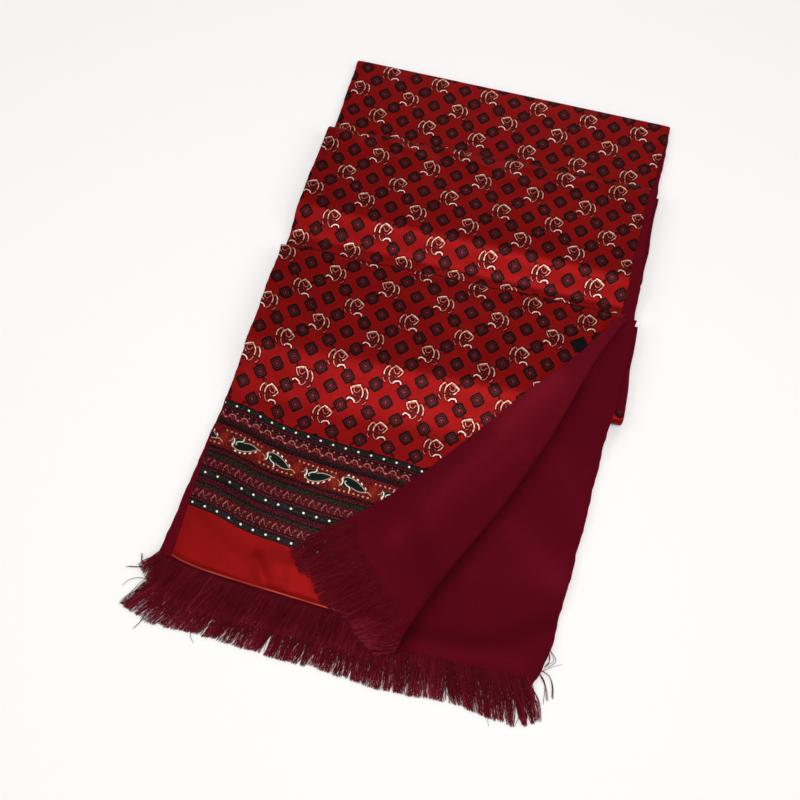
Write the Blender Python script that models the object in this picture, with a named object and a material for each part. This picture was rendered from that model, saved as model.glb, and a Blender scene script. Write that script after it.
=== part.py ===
"""A folded silk and wool scarf, modelled at its real size, in metres, +Z up.

The scarf is a printed satin face on a brushed wool back, about 0.30 m wide and 1.8 m long with its fringes.
It is doubled end to end, so that two plies lie together: the top ply with its silk up, and the lower ply
with its wool up. The doubled cloth is then folded to and fro into three runs that lie like stairs:

    far run    on the surface, ending in the doubling fold, the edge that lies farthest away
    mid run    on top of it, showing from the second fold down to the third
    near run   on top again, from the third fold, over the hidden layers, down to the fringed ends

The right corner of the near run's top ply is turned over to the left and shows its wool. Left and right
are the viewer's, the fringed ends lie nearest, and the origin is under the middle of the whole outline.
"""
import math

import bpy
import numpy as np

# ---- cloth ---------------------------------------------------------------------------------------------
GAP = 0.0003                 # clearance between two pieces of cloth
SILK = 0.0010                # satin panel
WOOL = 0.0012                # brushed wool panel
PLY = SILK + GAP + WOOL      # one ply, silk and wool together
DOUBLED = 2 * PLY + GAP      # two plies lying wool to wool
PITCH = DOUBLED + GAP        # height that each doubled layer adds to the pile
HALF = DOUBLED / 2           # from the middle of a doubled layer to its outer face
TURN = PITCH / 2             # radius at which the middle of a doubled layer turns through a fold
OUTER = TURN + HALF          # radius of the outer silk through a fold

# height of each panel over the middle of its doubled layer: (under face, upper face)
TOP_WOOL = (GAP / 2, GAP / 2 + WOOL)
TOP_SILK = (HALF - SILK, HALF)
LOW_WOOL = (-TOP_WOOL[1], -TOP_WOOL[0])
LOW_SILK = (-TOP_SILK[1], -TOP_SILK[0])

FIRST = HALF                 # middle of the layer that rests on the surface
SECOND = HALF + PITCH
THIRD = HALF + 2 * PITCH     # middle of the layer on top of the pile

# ---- the folds, seen from above ------------------------------------------------------------------------
# Each line across the scarf runs from a left point to a right point, at the fold's outermost edge.
#                x left   y left   x right  y right
FOLD_LINES = {
    "doubling": (-0.1385, 0.2650, 0.1595, 0.2747),
    "second":   (-0.1410, 0.1820, 0.1620, 0.2000),
    "third":    (-0.1450, 0.0585, 0.1665, 0.0745),
    "under":    (-0.1430, -0.0440, 0.1745, -0.0190),
    "inner":    (-0.1420, 0.0985, 0.1640, 0.1140),
}
# "under" is the hidden fold below the near run, and "inner" is the hidden fold below the mid run.
DROP = 0.046                 # length of the slope by which a run comes down from two hidden layers
LEAD = 0.007                 # how far before the hidden fold's edge the cloth starts to come down

# ---- edges of the panels, seen from above, from the near end to the far end: (x, y) ---------------------
FAR_LEFT = ((-0.1380, 0.1500), (-0.1385, 0.2650))
FAR_SILK_RIGHT = ((0.1540, 0.1800), (0.1590, 0.2747))
FAR_WOOL_RIGHT = ((0.1615, 0.1800), (0.1595, 0.2747))
MID_SILK_LEFT = ((-0.1445, 0.0400), (-0.1430, 0.1200), (-0.1400, 0.1820))
MID_WOOL_LEFT = ((-0.1450, 0.0400), (-0.1430, 0.1200), (-0.1410, 0.1820))
MID_SILK_RIGHT = ((0.1510, 0.0500), (0.1510, 0.1380), (0.1520, 0.2000))
MID_WOOL_RIGHT = ((0.1590, 0.0500), (0.1580, 0.1385), (0.1585, 0.2000))
NEAR_SILK_LEFT = ((-0.1465, -0.2200), (-0.1485, -0.1280), (-0.1455, -0.0400), (-0.1450, 0.0585))
NEAR_WOOL_LEFT = ((-0.1580, -0.2340), (-0.1520, -0.1400), (-0.1460, -0.0400), (-0.1450, 0.0585))
NEAR_SILK_END = (-0.2200, -0.2275)       # y of the satin's hem at the left edge and at the roll
NEAR_WOOL_END = (-0.2340, -0.2343)       # y of the wool's end there
LOW_LEFT = ((-0.1560, -0.2450), (-0.1490, -0.1400), (-0.1430, -0.0400), (-0.1430, 0.0585))
LOW_RIGHT = ((0.1500, -0.2400), (0.1620, -0.1600), (0.1640, -0.0300), (0.1665, 0.0745))
LOW_END = (-0.2450, -0.2400)             # y of the lower ply's end at its left and right edges
LOW_END_SAG = 0.0070                     # by which that end bows out towards the viewer
HIDDEN_LEFT = ((-0.1410, -0.0440), (-0.1420, 0.0585), (-0.1410, 0.1000), (-0.1400, 0.1820))
HIDDEN_RIGHT = ((0.1745, -0.0190), (0.1685, 0.0745), (0.1640, 0.1200), (0.1620, 0.2000))

# ---- the turned corner, from its end to the third fold -------------------------------------------------
#               crest x   crest y   selvage x  selvage y
TURNED_CORNER = ((0.0450, -0.2360, -0.0300, -0.1660),
                 (0.0645, -0.1820, 0.0020, -0.1330),
                 (0.0988, -0.1060, 0.0340, -0.0940),
                 (0.1210, -0.0430, 0.0650, -0.0520),
                 (0.1330, 0.0020, 0.0980, -0.0080),
                 (0.1430, 0.0350, 0.1230, 0.0240),
                 (0.1575, 0.0700, 0.1490, 0.0695))
ROLL = 0.0030                # radius of the roll, between its silk and its wool
TURNED_REST = TOP_SILK[1] + 0.0013 + SILK + GAP / 2   # the same level where the corner lies on the silk
SETTLE = 0.45                # share of the corner's width over which it comes down from the roll

# ---- fringes and label ---------------------------------------------------------------------------------
FRINGE_THICK = 0.0018
LABEL_MIDDLE = (0.1265, 0.0330)
LABEL_SIZE = (0.0130, 0.0110)
LABEL_TURN = math.radians(38)
LABEL_THICK = 0.0006
BEND_STEPS = 8               # flats in each half turn
SLOPE_STEPS = 8              # rows down each slope
END_ROWS = (0.0, 0.2, 0.5, 0.8)   # rows between a run's end and the foot of its slope, as shares
SIDE_GROOVE = 0.0030         # depth of the grooves that part the hidden layers at the sides
GROOVE_OPEN = 0.0026         # their height at the mouth


def smooth(share):
    """Ease from 0 to 1 with level ends."""
    share = np.clip(share, 0.0, 1.0)
    return share * share * (3 - 2 * share)


def line_y(name, x):
    """Where the fold line crosses x."""
    x0, y0, x1, y1 = FOLD_LINES[name]
    return y0 + (y1 - y0) * (x - x0) / (x1 - x0)


def near_height(x, y):
    """Middle height of the near run: down on the surface, then up the slope on to the hidden layers."""
    start = line_y("under", x) + LEAD - DROP
    return FIRST + 2 * PITCH * smooth((y - start) / DROP)


def mid_height(x, y):
    """Middle height of the mid run: on two hidden layers, and down to the surface before the third fold."""
    start = line_y("inner", x) + LEAD - DROP
    return FIRST + 2 * PITCH * smooth((y - start) / DROP)


def edge(points, shares):
    """Points at the given shares along an open polyline, each leg counting by its length."""
    points = np.array(points, dtype=float)
    steps = np.hypot(*np.diff(points, axis=0).T)
    along = np.concatenate(([0.0], np.cumsum(steps))) / steps.sum()
    return np.stack([np.interp(shares, along, points[:, k]) for k in range(points.shape[1])], axis=-1)


def between(left, right, columns):
    """Rows of plan points from the left edge to the right edge: shape (rows, columns, 2)."""
    share = np.linspace(0.0, 1.0, columns)[None, :, None]
    return left[:, None, :] * (1 - share) + right[:, None, :] * share


def x_at(points, y):
    """How far right an edge lies at y."""
    points = np.array(points)
    return float(np.interp(y, points[:, 1], points[:, 0]))


def crossing(points, name, beyond):
    """Where an edge crosses the line that lies beyond a fold line by the given distance."""
    y = 0.0
    for _ in range(6):
        y = line_y(name, x_at(points, y)) + beyond
    return (x_at(points, y), y)


def side_rows(points, row_lines, end=None):
    """An edge's points on each row line (fold name, distance beyond it), with rows down to its end before."""
    side = [crossing(points, name, beyond) for name, beyond in row_lines]
    if end is None:
        return np.array(side)
    foot = side[0][1]
    ys = [end + (foot - end) * share for share in END_ROWS]
    return np.array([(x_at(points, y), y) for y in ys] + side)


def slope_rows(name):
    """Row lines down the slope that lies before a hidden fold, from its foot to its head."""
    return [(name, LEAD - DROP + DROP * step / SLOPE_STEPS) for step in range(SLOPE_STEPS + 1)]


def level(plan, height, offset):
    """A face over the plan: each point at the run's middle height plus the offset."""
    z = height(plan[..., 0], plan[..., 1]) + offset
    return np.concatenate([plan, z[..., None]], axis=-1)


def with_turn(face, way, radius, steps=BEND_STEPS):
    """Add a half turn beyond a face's far row: the radius swings from straight up to straight down."""
    turn = np.linspace(0.0, math.pi, steps + 1)[1:]
    last = face[-1]
    centre = last.copy()
    centre[:, 2] -= radius
    out = np.sin(turn)[:, None, None] * radius
    up = np.cos(turn)[:, None] * radius
    swing = np.repeat(centre[None], steps, axis=0)
    swing[..., :2] += out * way[None]
    swing[..., 2] += up
    return np.concatenate([face, swing], axis=0)


def way_of(plan):
    """Unit direction in which each column runs away from the viewer at the far row."""
    step = plan[-1] - plan[-2]
    return step / np.linalg.norm(step, axis=-1, keepdims=True)


def folded_panel(plan, height, offsets, radius_at_middle):
    """Under and upper faces of a panel that runs to a fold and turns down through it."""
    way = way_of(plan)
    return [with_turn(level(plan, height, offset), way, radius_at_middle + offset) for offset in offsets]


def material(name, colour, roughness):
    """A plain Principled material."""
    finish = bpy.data.materials.new(name)
    finish.use_nodes = True
    shader = finish.node_tree.nodes["Principled BSDF"]
    shader.inputs["Base Color"].default_value = (*colour, 1.0)
    shader.inputs["Roughness"].default_value = roughness
    shader.inputs["Metallic"].default_value = 0.0
    finish.diffuse_color = (*colour, 1.0)
    return finish


def make_object(name, points, faces, finish):
    """One named object from points and faces."""
    mesh = bpy.data.meshes.new(name)
    mesh.from_pydata([tuple(point) for point in points], [], faces)
    mesh.validate()
    mesh.update()
    mesh.materials.append(finish)
    piece = bpy.data.objects.new(name, mesh)
    bpy.context.scene.collection.objects.link(piece)
    return piece


def wall(name, under, upper, finish):
    """A closed wall of cloth between two faces given as grids of the same shape."""
    rows, columns = under.shape[:2]
    count = rows * columns
    points = np.concatenate([under.reshape(-1, 3), upper.reshape(-1, 3)])

    def at(row, column, side):
        return side * count + row * columns + column

    faces = []
    for row in range(rows - 1):
        for column in range(columns - 1):
            faces.append([at(row, column, 1), at(row, column + 1, 1),
                          at(row + 1, column + 1, 1), at(row + 1, column, 1)])
            faces.append([at(row, column, 0), at(row + 1, column, 0),
                          at(row + 1, column + 1, 0), at(row, column + 1, 0)])
    for row in range(rows - 1):
        faces.append([at(row, 0, 0), at(row, 0, 1), at(row + 1, 0, 1), at(row + 1, 0, 0)])
        faces.append([at(row, columns - 1, 0), at(row + 1, columns - 1, 0),
                      at(row + 1, columns - 1, 1), at(row, columns - 1, 1)])
    for column in range(columns - 1):
        faces.append([at(0, column, 0), at(0, column + 1, 0), at(0, column + 1, 1), at(0, column, 1)])
        faces.append([at(rows - 1, column, 0), at(rows - 1, column, 1),
                      at(rows - 1, column + 1, 1), at(rows - 1, column + 1, 0)])
    return make_object(name, points, faces, finish)


def make_far_run(silk, wool):
    """The run on the surface: each panel runs out on top, turns through the doubling fold and comes back."""
    row_lines = [("second", -OUTER + GAP), ("second", 0.030), ("doubling", -HALF)]
    for name, right, offsets, finish in (("far_run_silk", FAR_SILK_RIGHT, TOP_SILK, silk),
                                         ("far_run_wool", FAR_WOOL_RIGHT, TOP_WOOL, wool)):
        plan = between(side_rows(FAR_LEFT, row_lines), side_rows(right, row_lines), 7)
        faces = []
        for offset in offsets:
            out = folded_panel(plan, lambda x, y: np.full_like(x, FIRST), (offset,), 0.0)[0]
            back = level(plan[::-1][1:], lambda x, y: np.full_like(x, FIRST), -offset)
            faces.append(np.concatenate([out, back], axis=0))
        wall(name, faces[0], faces[1], finish)


def make_mid_run(silk, wool):
    """The run in the middle: up the slope from the third fold, then flat, and down round the second fold."""
    row_lines = [("third", -OUTER), *slope_rows("inner"), ("second", -OUTER)]
    for name, left, right, offsets, finish in (
            ("mid_run_silk", MID_SILK_LEFT, MID_SILK_RIGHT, TOP_SILK, silk),
            ("mid_run_wool", MID_WOOL_LEFT, MID_WOOL_RIGHT, TOP_WOOL, wool)):
        plan = between(side_rows(left, row_lines), side_rows(right, row_lines), 7)
        under, upper = folded_panel(plan, mid_height, offsets, TURN)
        wall(name, under, upper, finish)


def near_lines():
    """Row lines of the near run: down its slope, across the hidden layers and to the third fold's axis."""
    return [*slope_rows("under"), ("third", -0.055), ("third", -0.028), ("third", -OUTER)]


def crest_frame():
    """Crest points, selvage points and the level direction to the right of the crest, end to fold."""
    table = np.array(TURNED_CORNER)
    crests, selvages = table[:, :2], table[:, 2:]
    crest = side_rows(crests, near_lines(), crests[0, 1])
    ys = crest[:, 1]
    shares = np.interp(ys, crests[:, 1], np.arange(len(table)))
    selvage = np.stack([np.interp(shares, np.arange(len(table)), selvages[:, k]) for k in (0, 1)], axis=-1)
    way = np.gradient(crest, axis=0)
    way /= np.linalg.norm(way, axis=1, keepdims=True)
    rightward = np.stack([way[:, 1], -way[:, 0]], axis=1)
    return crest, selvage, rightward


def roll_middle(aside=0.0):
    """Plan line below the axis of the roll, where the top ply starts to turn over, moved aside if asked."""
    crest, _, rightward = crest_frame()
    return crest - rightward * (ROLL + TOP_WOOL[1] - GAP / 2 + aside)


def make_near_run(silk, wool):
    """The top ply of the near run, up to the roll of the turned corner, and round the third fold."""
    for name, left, end, offsets, finish in (
            ("near_run_silk", NEAR_SILK_LEFT, NEAR_SILK_END, TOP_SILK, silk),
            ("near_run_wool", NEAR_WOOL_LEFT, NEAR_WOOL_END, TOP_WOOL, wool)):
        roll = roll_middle(GAP)
        roll[0] = (x_at(roll, end[1]), end[1])
        plan = between(side_rows(left, near_lines(), end[0]), roll, 9)
        under, upper = folded_panel(plan, near_height, offsets, TURN)
        wall(name, under, upper, finish)


def make_lower_ply(silk, wool):
    """The lower ply of the near run: its wool lies up and shows beside the turned corner."""
    for name, offsets, finish in (("lower_ply_wool", LOW_WOOL, wool),
                                  ("lower_ply_silk", LOW_SILK, silk)):
        left = side_rows(LOW_LEFT, near_lines(), LOW_END[0])
        plan = between(left, side_rows(LOW_RIGHT, near_lines(), LOW_END[1]), 9)
        plan[0, :, 1] -= np.sin(np.linspace(0.0, math.pi, 9)) * LOW_END_SAG
        under, upper = folded_panel(plan, near_height, offsets, TURN)
        wall(name, under, upper, finish)


def make_turned_corner(silk, wool):
    """The corner of the top ply: half a turn round the roll, then flat to its selvage, wool outward."""
    crest, selvage, rightward = crest_frame()
    axis = roll_middle()
    start = (TOP_WOOL[1] + TOP_SILK[0]) / 2
    turn = np.linspace(0.0, math.pi, BEND_STEPS + 1)
    shares = np.linspace(0.0, 1.0, 6)[1:]
    for name, offsets, finish in (("turned_corner_wool", (GAP / 2, GAP / 2 + WOOL), wool),
                                  ("turned_corner_silk", (-GAP / 2 - SILK, -GAP / 2), silk)):
        faces = []
        for offset in offsets:
            radius = ROLL + offset
            plan = axis[:, None, :] + rightward[:, None, :] * (np.sin(turn) * radius)[None, :, None]
            z = near_height(plan[..., 0], plan[..., 1]) + start + ROLL - np.cos(turn)[None, :] * radius
            around = np.concatenate([plan, z[..., None]], axis=-1)
            flat = axis[:, None, :] * (1 - shares)[None, :, None] + selvage[:, None, :] * shares[None, :, None]
            rest = start + 2 * ROLL + (TURNED_REST - start - 2 * ROLL) * smooth(shares / SETTLE)
            z = near_height(flat[..., 0], flat[..., 1]) + rest[None, :] + offset
            over = np.concatenate([flat, z[..., None]], axis=-1)
            faces.append(np.concatenate([around, over], axis=1)[:, ::-1])
        wall(name, faces[0], faces[1], finish)


def fringe_slab(name, root, tips, base, finish, rows=4):
    """A slab of the fringe's reach, from its root line to the line of its tips, thinner at the tips."""
    share = np.linspace(0.0, 1.0, rows)[:, None, None]
    plan = root[None] * (1 - share) + tips[None] * share
    under = np.concatenate([plan, base(plan)[..., None]], axis=-1)
    upper = under.copy()
    upper[..., 2] += FRINGE_THICK * (1 - 0.4 * share[..., 0])
    wall(name, upper, under, finish)


def make_fringes(wool):
    """The three stretches of fringe: the top ply's, the lower ply's and the turned corner's."""
    columns = 13
    shares = np.linspace(0.0, 1.0, columns)
    end_of_roll = roll_middle(GAP)[0]
    root = edge(((NEAR_WOOL_LEFT[0][0], NEAR_WOOL_END[0] - GAP),
                 (end_of_roll[0], NEAR_WOOL_END[1] - GAP)), shares)
    tips = edge(((-0.1690, -0.2420), (-0.1400, -0.2560), (0.0400, -0.2590)), shares)
    fringe_slab("near_run_fringe", root, tips,
                lambda plan: np.full(plan.shape[:2], FIRST + TOP_WOOL[0]), wool)
    low_root = edge((LOW_LEFT[0], LOW_RIGHT[0]), shares)
    low_root[:, 1] -= np.sin(np.linspace(0.0, math.pi, columns)) * LOW_END_SAG + GAP
    tips = edge(((-0.1745, -0.2690), (-0.1200, -0.2747), (0.1370, -0.2747), (0.1650, -0.2630)), shares)
    fringe_slab("lower_ply_fringe", low_root, tips, lambda plan: np.zeros(plan.shape[:2]), wool)
    selvage = crest_frame()[1]
    end = np.stack([selvage[0], roll_middle()[0]])
    way = end[1] - end[0]
    outward = np.array([way[1], -way[0]]) / np.linalg.norm(way)
    root = edge(end, shares) + outward * GAP
    tips = root + outward * 0.030
    base = FIRST + HALF + 0.0013
    fringe_slab("turned_corner_fringe", root, tips, lambda plan: np.full(plan.shape[:2], base), wool)


def make_label(finish):
    """The small plain label on the silk beside the turned corner."""
    half_x, half_y = LABEL_SIZE[0] / 2, LABEL_SIZE[1] / 2
    cos, sin = math.cos(LABEL_TURN), math.sin(LABEL_TURN)
    corners = np.array([[[-half_x, -half_y], [half_x, -half_y]], [[-half_x, half_y], [half_x, half_y]]])
    plan = np.stack([corners[..., 0] * cos - corners[..., 1] * sin + LABEL_MIDDLE[0],
                     corners[..., 0] * sin + corners[..., 1] * cos + LABEL_MIDDLE[1]], axis=-1)
    under = level(plan, near_height, TOP_SILK[1] + GAP)
    upper = under.copy()
    upper[..., 2] += LABEL_THICK
    wall("label", under, upper, finish)


def hidden_x(share, y):
    """How far right the hidden layers' column lies at y, from its share of the way across."""
    return x_at(HIDDEN_LEFT, y) * (1 - share) + x_at(HIDDEN_RIGHT, y) * share


def hidden_section(share):
    """Outline of the hidden layers at one column, from the second fold along the surface and back on top."""
    def fold_y(name, beyond):
        y = 0.0
        for _ in range(6):
            y = line_y(name, hidden_x(share, y)) + beyond
        return y

    second = fold_y("second", -OUTER - GAP)
    third = fold_y("third", -OUTER - GAP)
    under = fold_y("under", OUTER)
    outline = [(second, 0.0), (under, 0.0)]
    for step in range(1, BEND_STEPS):
        angle = -math.pi / 2 - math.pi * step / BEND_STEPS
        outline.append((under + OUTER * math.cos(angle), OUTER + OUTER * math.sin(angle)))
    outline.append((under, 2 * OUTER))
    outline.append((third, 2 * OUTER))
    outline.append((third, FIRST - GAP / 2))
    for name, beyond in slope_rows("inner"):
        y = fold_y(name, beyond)
        outline.append((y, float(mid_height(hidden_x(share, y), y)) - GAP / 2))
    outline.append((second, THIRD - GAP / 2))
    middle = SECOND + TURN
    radius = TURN - GAP / 2
    for step in range(1, BEND_STEPS + 1):
        angle = math.pi / 2 - math.pi * step / BEND_STEPS
        outline.append((second + radius * math.cos(angle), middle + radius * math.sin(angle)))
    return outline


def make_hidden_layers(finish):
    """One solid for the layers that the three runs cover, with grooved sides that show how they lie."""
    columns = 7
    outlines = []
    for share in np.linspace(0.0, 1.0, columns):
        outlines.append([(hidden_x(share, y), y, z) for y, z in hidden_section(share)])
    count = len(outlines[0])
    points = [point for ring in outlines for point in ring]
    faces = [list(range(count)), [(columns - 1) * count + k for k in reversed(range(count))]]
    for column in range(columns - 1):
        for k in range(count):
            after = (k + 1) % count
            faces.append([column * count + k, (column + 1) * count + k,
                          (column + 1) * count + after, column * count + after])
    body = make_object("hidden_layers", points, faces, finish)
    groove_sides(body, finish)


def groove_sides(body, finish):
    """Cut long V grooves into both sides, one for each place where two doubled layers meet."""
    reach = 0.006
    for side, points in ((-1, HIDDEN_LEFT), (1, HIDDEN_RIGHT)):
        nose, third, inner, second = (y for _, y in points)
        #           near end       far end                  height of the groove
        grooves = ((nose - 0.030, third - OUTER - 2 * GAP, PITCH - GAP / 2),
                   (inner + 0.010, second + 0.030, PITCH - GAP / 2),
                   (inner + 0.022, second + 0.030, 2 * PITCH - GAP / 2))
        for near, far, z in grooves:
            ring = []
            for y in np.linspace(near, far, 5):
                x = x_at(points, y)
                ring.append((x - side * SIDE_GROOVE, y, z))
                ring.append((x + side * reach, y, z + GROOVE_OPEN))
                ring.append((x + side * reach, y, z - GROOVE_OPEN))
            faces = [[0, 1, 2], [14, 13, 12]]
            for k in range(4):
                for corner in range(3):
                    after = (corner + 1) % 3
                    faces.append([3 * k + corner, 3 * k + 3 + corner, 3 * k + 3 + after, 3 * k + after])
            if side > 0:
                faces = [list(reversed(face)) for face in faces]
            cutter = make_object("groove_cutter", ring, faces, finish)
            cutter.hide_render = True
            cutter.display_type = "WIRE"
            cut = body.modifiers.new("side groove", "BOOLEAN")
            cut.operation = "DIFFERENCE"
            cut.solver = "EXACT"
            cut.object = cutter


def main():
    """Build every piece of the scarf."""
    for old in list(bpy.data.objects):
        bpy.data.objects.remove(old, do_unlink=True)
    silk = material("red satin", (0.42, 0.012, 0.012), 0.32)
    wool = material("burgundy wool", (0.090, 0.004, 0.012), 0.92)
    black = material("black label", (0.012, 0.012, 0.014), 0.55)
    make_far_run(silk, wool)
    make_mid_run(silk, wool)
    make_near_run(silk, wool)
    make_lower_ply(silk, wool)
    make_turned_corner(silk, wool)
    make_fringes(wool)
    make_label(black)
    make_hidden_layers(wool)


main()
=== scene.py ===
# %% [markdown]
# # A folded silk scarf with a wool back
#
# A long scarf lies folded on a pale surface. Its face is printed silk satin and its back is brushed wool.
# It was doubled end to end, so two plies lie together, and then folded to and fro into three runs that
# lie like stairs. The right corner of the top ply is turned over and shows its wool. This lesson builds
# each stretch of cloth as a thin wall that follows the pile, then prints, weaves and lights it.
# Everything is in metres, +Z up, and the fringed ends lie nearest the viewer.

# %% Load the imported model
import math

import bpy
import numpy as np
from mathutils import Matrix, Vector


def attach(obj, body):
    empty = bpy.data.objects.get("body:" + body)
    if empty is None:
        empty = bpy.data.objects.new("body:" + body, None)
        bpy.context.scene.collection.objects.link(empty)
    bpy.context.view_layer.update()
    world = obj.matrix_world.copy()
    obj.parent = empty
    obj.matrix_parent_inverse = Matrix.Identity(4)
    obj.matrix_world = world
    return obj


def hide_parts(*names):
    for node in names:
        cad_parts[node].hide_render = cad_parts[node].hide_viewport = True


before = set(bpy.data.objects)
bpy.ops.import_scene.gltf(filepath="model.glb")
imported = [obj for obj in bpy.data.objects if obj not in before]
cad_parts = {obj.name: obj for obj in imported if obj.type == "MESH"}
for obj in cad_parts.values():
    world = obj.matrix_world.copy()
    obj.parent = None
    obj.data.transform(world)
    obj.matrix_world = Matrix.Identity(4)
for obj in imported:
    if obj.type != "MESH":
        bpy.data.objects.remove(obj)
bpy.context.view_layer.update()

print("the packed model has", len(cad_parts), "solids")

# %% [markdown]
# ## Camera
# The photograph looks steeply down on the scarf, turned sixteen degrees to it. Its height, turn and lens
# were worked out from the folds, the straight edges and the even pitch of the print.

# %% Camera
camera_data = bpy.data.cameras.new("camera")
camera_data.lens = 40.5
camera_data.sensor_width = 36.0
camera_data.clip_start = 0.01
camera = bpy.data.objects.new("camera", camera_data)
camera.location = (0.0522, -0.2580, 0.7245)
camera.rotation_euler = (math.radians(16.9), 0.0, math.radians(16.0))
bpy.context.scene.collection.objects.link(camera)
bpy.context.scene.camera = camera
bpy.context.scene.view_settings.view_transform = "Standard"
print("camera at", tuple(round(v, 3) for v in camera.location))

# %% [markdown]
# ## The pile of cloth
# The sizes are those of the solids: each ply is a silk panel and a wool panel with a hair's breadth
# between them, and two plies lie wool to wool. A doubled layer lies on one, two or three levels.

# %% Sizes of the cloth
GAP = 0.0003                 # clearance between two pieces of cloth
SILK = 0.0010                # room that the silk panel takes
WOOL = 0.0012                # thickness of the wool panel
PLY = SILK + GAP + WOOL
DOUBLED = 2 * PLY + GAP
PITCH = DOUBLED + GAP
HALF = DOUBLED / 2
TURN = PITCH / 2
OUTER = TURN + HALF
# heights over the middle of a doubled layer: under and upper face, and the middles of both panels
TOP_WOOL = (GAP / 2, GAP / 2 + WOOL)
TOP_SILK = (HALF - SILK, HALF)
LOW_WOOL = (-TOP_WOOL[1], -TOP_WOOL[0])
WOOL_MIDDLE = sum(TOP_WOOL) / 2
SILK_MIDDLE = HALF - SILK / 2
FIRST = HALF                 # height of that middle where the layer lies on the surface
SATIN = 0.0006               # thickness of the satin itself
TURN_STEPS = 16              # steps of a half turn round a fold
print("a doubled layer is", round(DOUBLED * 1000, 1), "mm thick")

# %% Fold lines, slopes and edges
#                x left   y left   x right  y right
FOLD_LINES = {
    "doubling": (-0.1385, 0.2650, 0.1595, 0.2747),
    "second":   (-0.1410, 0.1820, 0.1620, 0.2000),
    "third":    (-0.1450, 0.0585, 0.1665, 0.0745),
    "under":    (-0.1430, -0.0440, 0.1745, -0.0190),
    "inner":    (-0.1420, 0.0985, 0.1640, 0.1085),
}
# slopes where a run comes down from two hidden layers; a lean over 1 is steepest near the head
#             length  reach beyond the hidden fold  lean
SLOPES = {
    "under": (0.056, 0.012, 1.30),
    "inner": (0.034, 0.005, 1.00),
}
HEAVE = 0.0016               # by which the mid run is pushed up where it goes under the third fold
# the waves of a slow drift: share of its length, share of its reach
DRIFT = ((1.0, 0.55), (0.61, 0.30), (0.37, 0.15))


def smooth(share):
    """Ease from 0 to 1 with level ends: share^2 (3 - 2 share), with the share held between 0 and 1."""
    share = np.clip(share, 0.0, 1.0)
    return share * share * (3 - 2 * share)


def line_y(name, x):
    """Where the fold line crosses x: a straight line through its two ends."""
    x0, y0, x1, y1 = FOLD_LINES[name]
    return y0 + (y1 - y0) * (x - x0) / (x1 - x0)


def slope(name, x, y):
    """Share of the way up the slope before a hidden fold: the ease of a leaned share of its length."""
    drop, lead, lean = SLOPES[name]
    share = np.clip((y - line_y(name, x) - lead + drop) / drop, 0.0, 1.0)
    return smooth(share ** lean)


def wander(along, reach, length, seed):
    """A slow, uneven drift along a line: three sine waves of odd lengths and phases, added."""
    phases = np.random.default_rng(seed).uniform(0, 2 * math.pi, len(DRIFT))
    return reach * sum(part * np.sin(2 * math.pi * along / (length * k) + phase)
                       for (k, part), phase in zip(DRIFT, phases))


print("fold lines:", ", ".join(FOLD_LINES))

# %% [markdown]
# ## Relief
# Cloth that lies flat is never quite flat. Each crease below is a soft ridge or trough along a line, and
# the top ply also lies a little hollow here and there, so that the satin catches the light unevenly.

# %% Creases
#            x0       y0       x1       y1      width    height
NEAR_CREASES = (
    (-0.140, -0.190, -0.060, -0.226, 0.0100, 0.0012),
    (-0.146, -0.150, -0.070, -0.205, 0.0130, 0.0010),
    (-0.135, -0.095, -0.085, -0.125, 0.0120, -0.0007),
    (-0.100, -0.050, -0.020, -0.062, 0.0140, 0.0006),
    (-0.135, 0.010, -0.080, -0.015, 0.0110, 0.0008),
    (0.010, 0.030, 0.100, 0.045, 0.0120, 0.0006),
    (-0.060, 0.045, 0.020, 0.030, 0.0130, 0.0006),
    (-0.080, -0.206, -0.066, -0.2265, 0.0050, 0.0011),
    (-0.052, -0.204, -0.044, -0.2265, 0.0065, 0.0009),
)
MID_CREASES = (
    (-0.130, 0.174, -0.090, 0.161, 0.0060, 0.0013),
    (-0.085, 0.180, -0.040, 0.171, 0.0045, 0.0017),
    (-0.030, 0.186, 0.020, 0.177, 0.0048, 0.0017),
    (0.036, 0.191, 0.090, 0.185, 0.0045, 0.0016),
    (0.100, 0.195, 0.150, 0.189, 0.0045, 0.0013),
    (-0.110, 0.172, -0.060, 0.164, 0.0050, 0.0009),
    (0.000, 0.174, 0.060, 0.172, 0.0055, 0.0009),
    (-0.060, 0.128, 0.040, 0.136, 0.0160, 0.0006),
    (0.060, 0.138, 0.130, 0.130, 0.0150, 0.0006),
)
LOW_CREASES = (
    (0.040, -0.2275, 0.105, -0.2185, 0.0075, -0.0016),
    (0.118, -0.2130, 0.155, -0.1880, 0.0075, -0.0014),
    (0.090, -0.120, 0.150, -0.150, 0.0180, 0.0012),
    (0.062, -0.2350, 0.140, -0.2255, 0.0070, 0.0012),
    (0.130, -0.060, 0.160, -0.100, 0.0130, 0.0008),
    (0.090, -0.165, 0.150, -0.158, 0.0120, 0.0007),
)
LOW_BED = 0.0017             # the lower ply's relief is worked out above this, so its troughs stay clear
CORNER_CREASES = (
    (0.110, 0.000, 0.020, -0.160, 0.0110, 0.0016),
    (0.070, -0.060, 0.000, -0.140, 0.0120, -0.0008),
    (0.060, -0.190, 0.030, -0.140, 0.0100, -0.0010),
    (0.100, -0.060, 0.040, -0.150, 0.0070, 0.0008),
    (-0.005, -0.170, 0.030, -0.200, 0.0080, 0.0007),
)


def creases(table, x, y):
    """Height of soft ridges: height * exp(-(distance to the crease / width)^2), added over the table."""
    z = np.zeros_like(x)
    for x0, y0, x1, y1, width, height in table:
        run = (x1 - x0, y1 - y0)
        share = ((x - x0) * run[0] + (y - y0) * run[1]) / (run[0] ** 2 + run[1] ** 2)
        held = np.clip(share, 0.0, 1.0)
        gone = np.hypot(x - x0 - held * run[0], y - y0 - held * run[1])
        z += height * np.exp(-(gone / width) ** 2)
    return z


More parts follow.
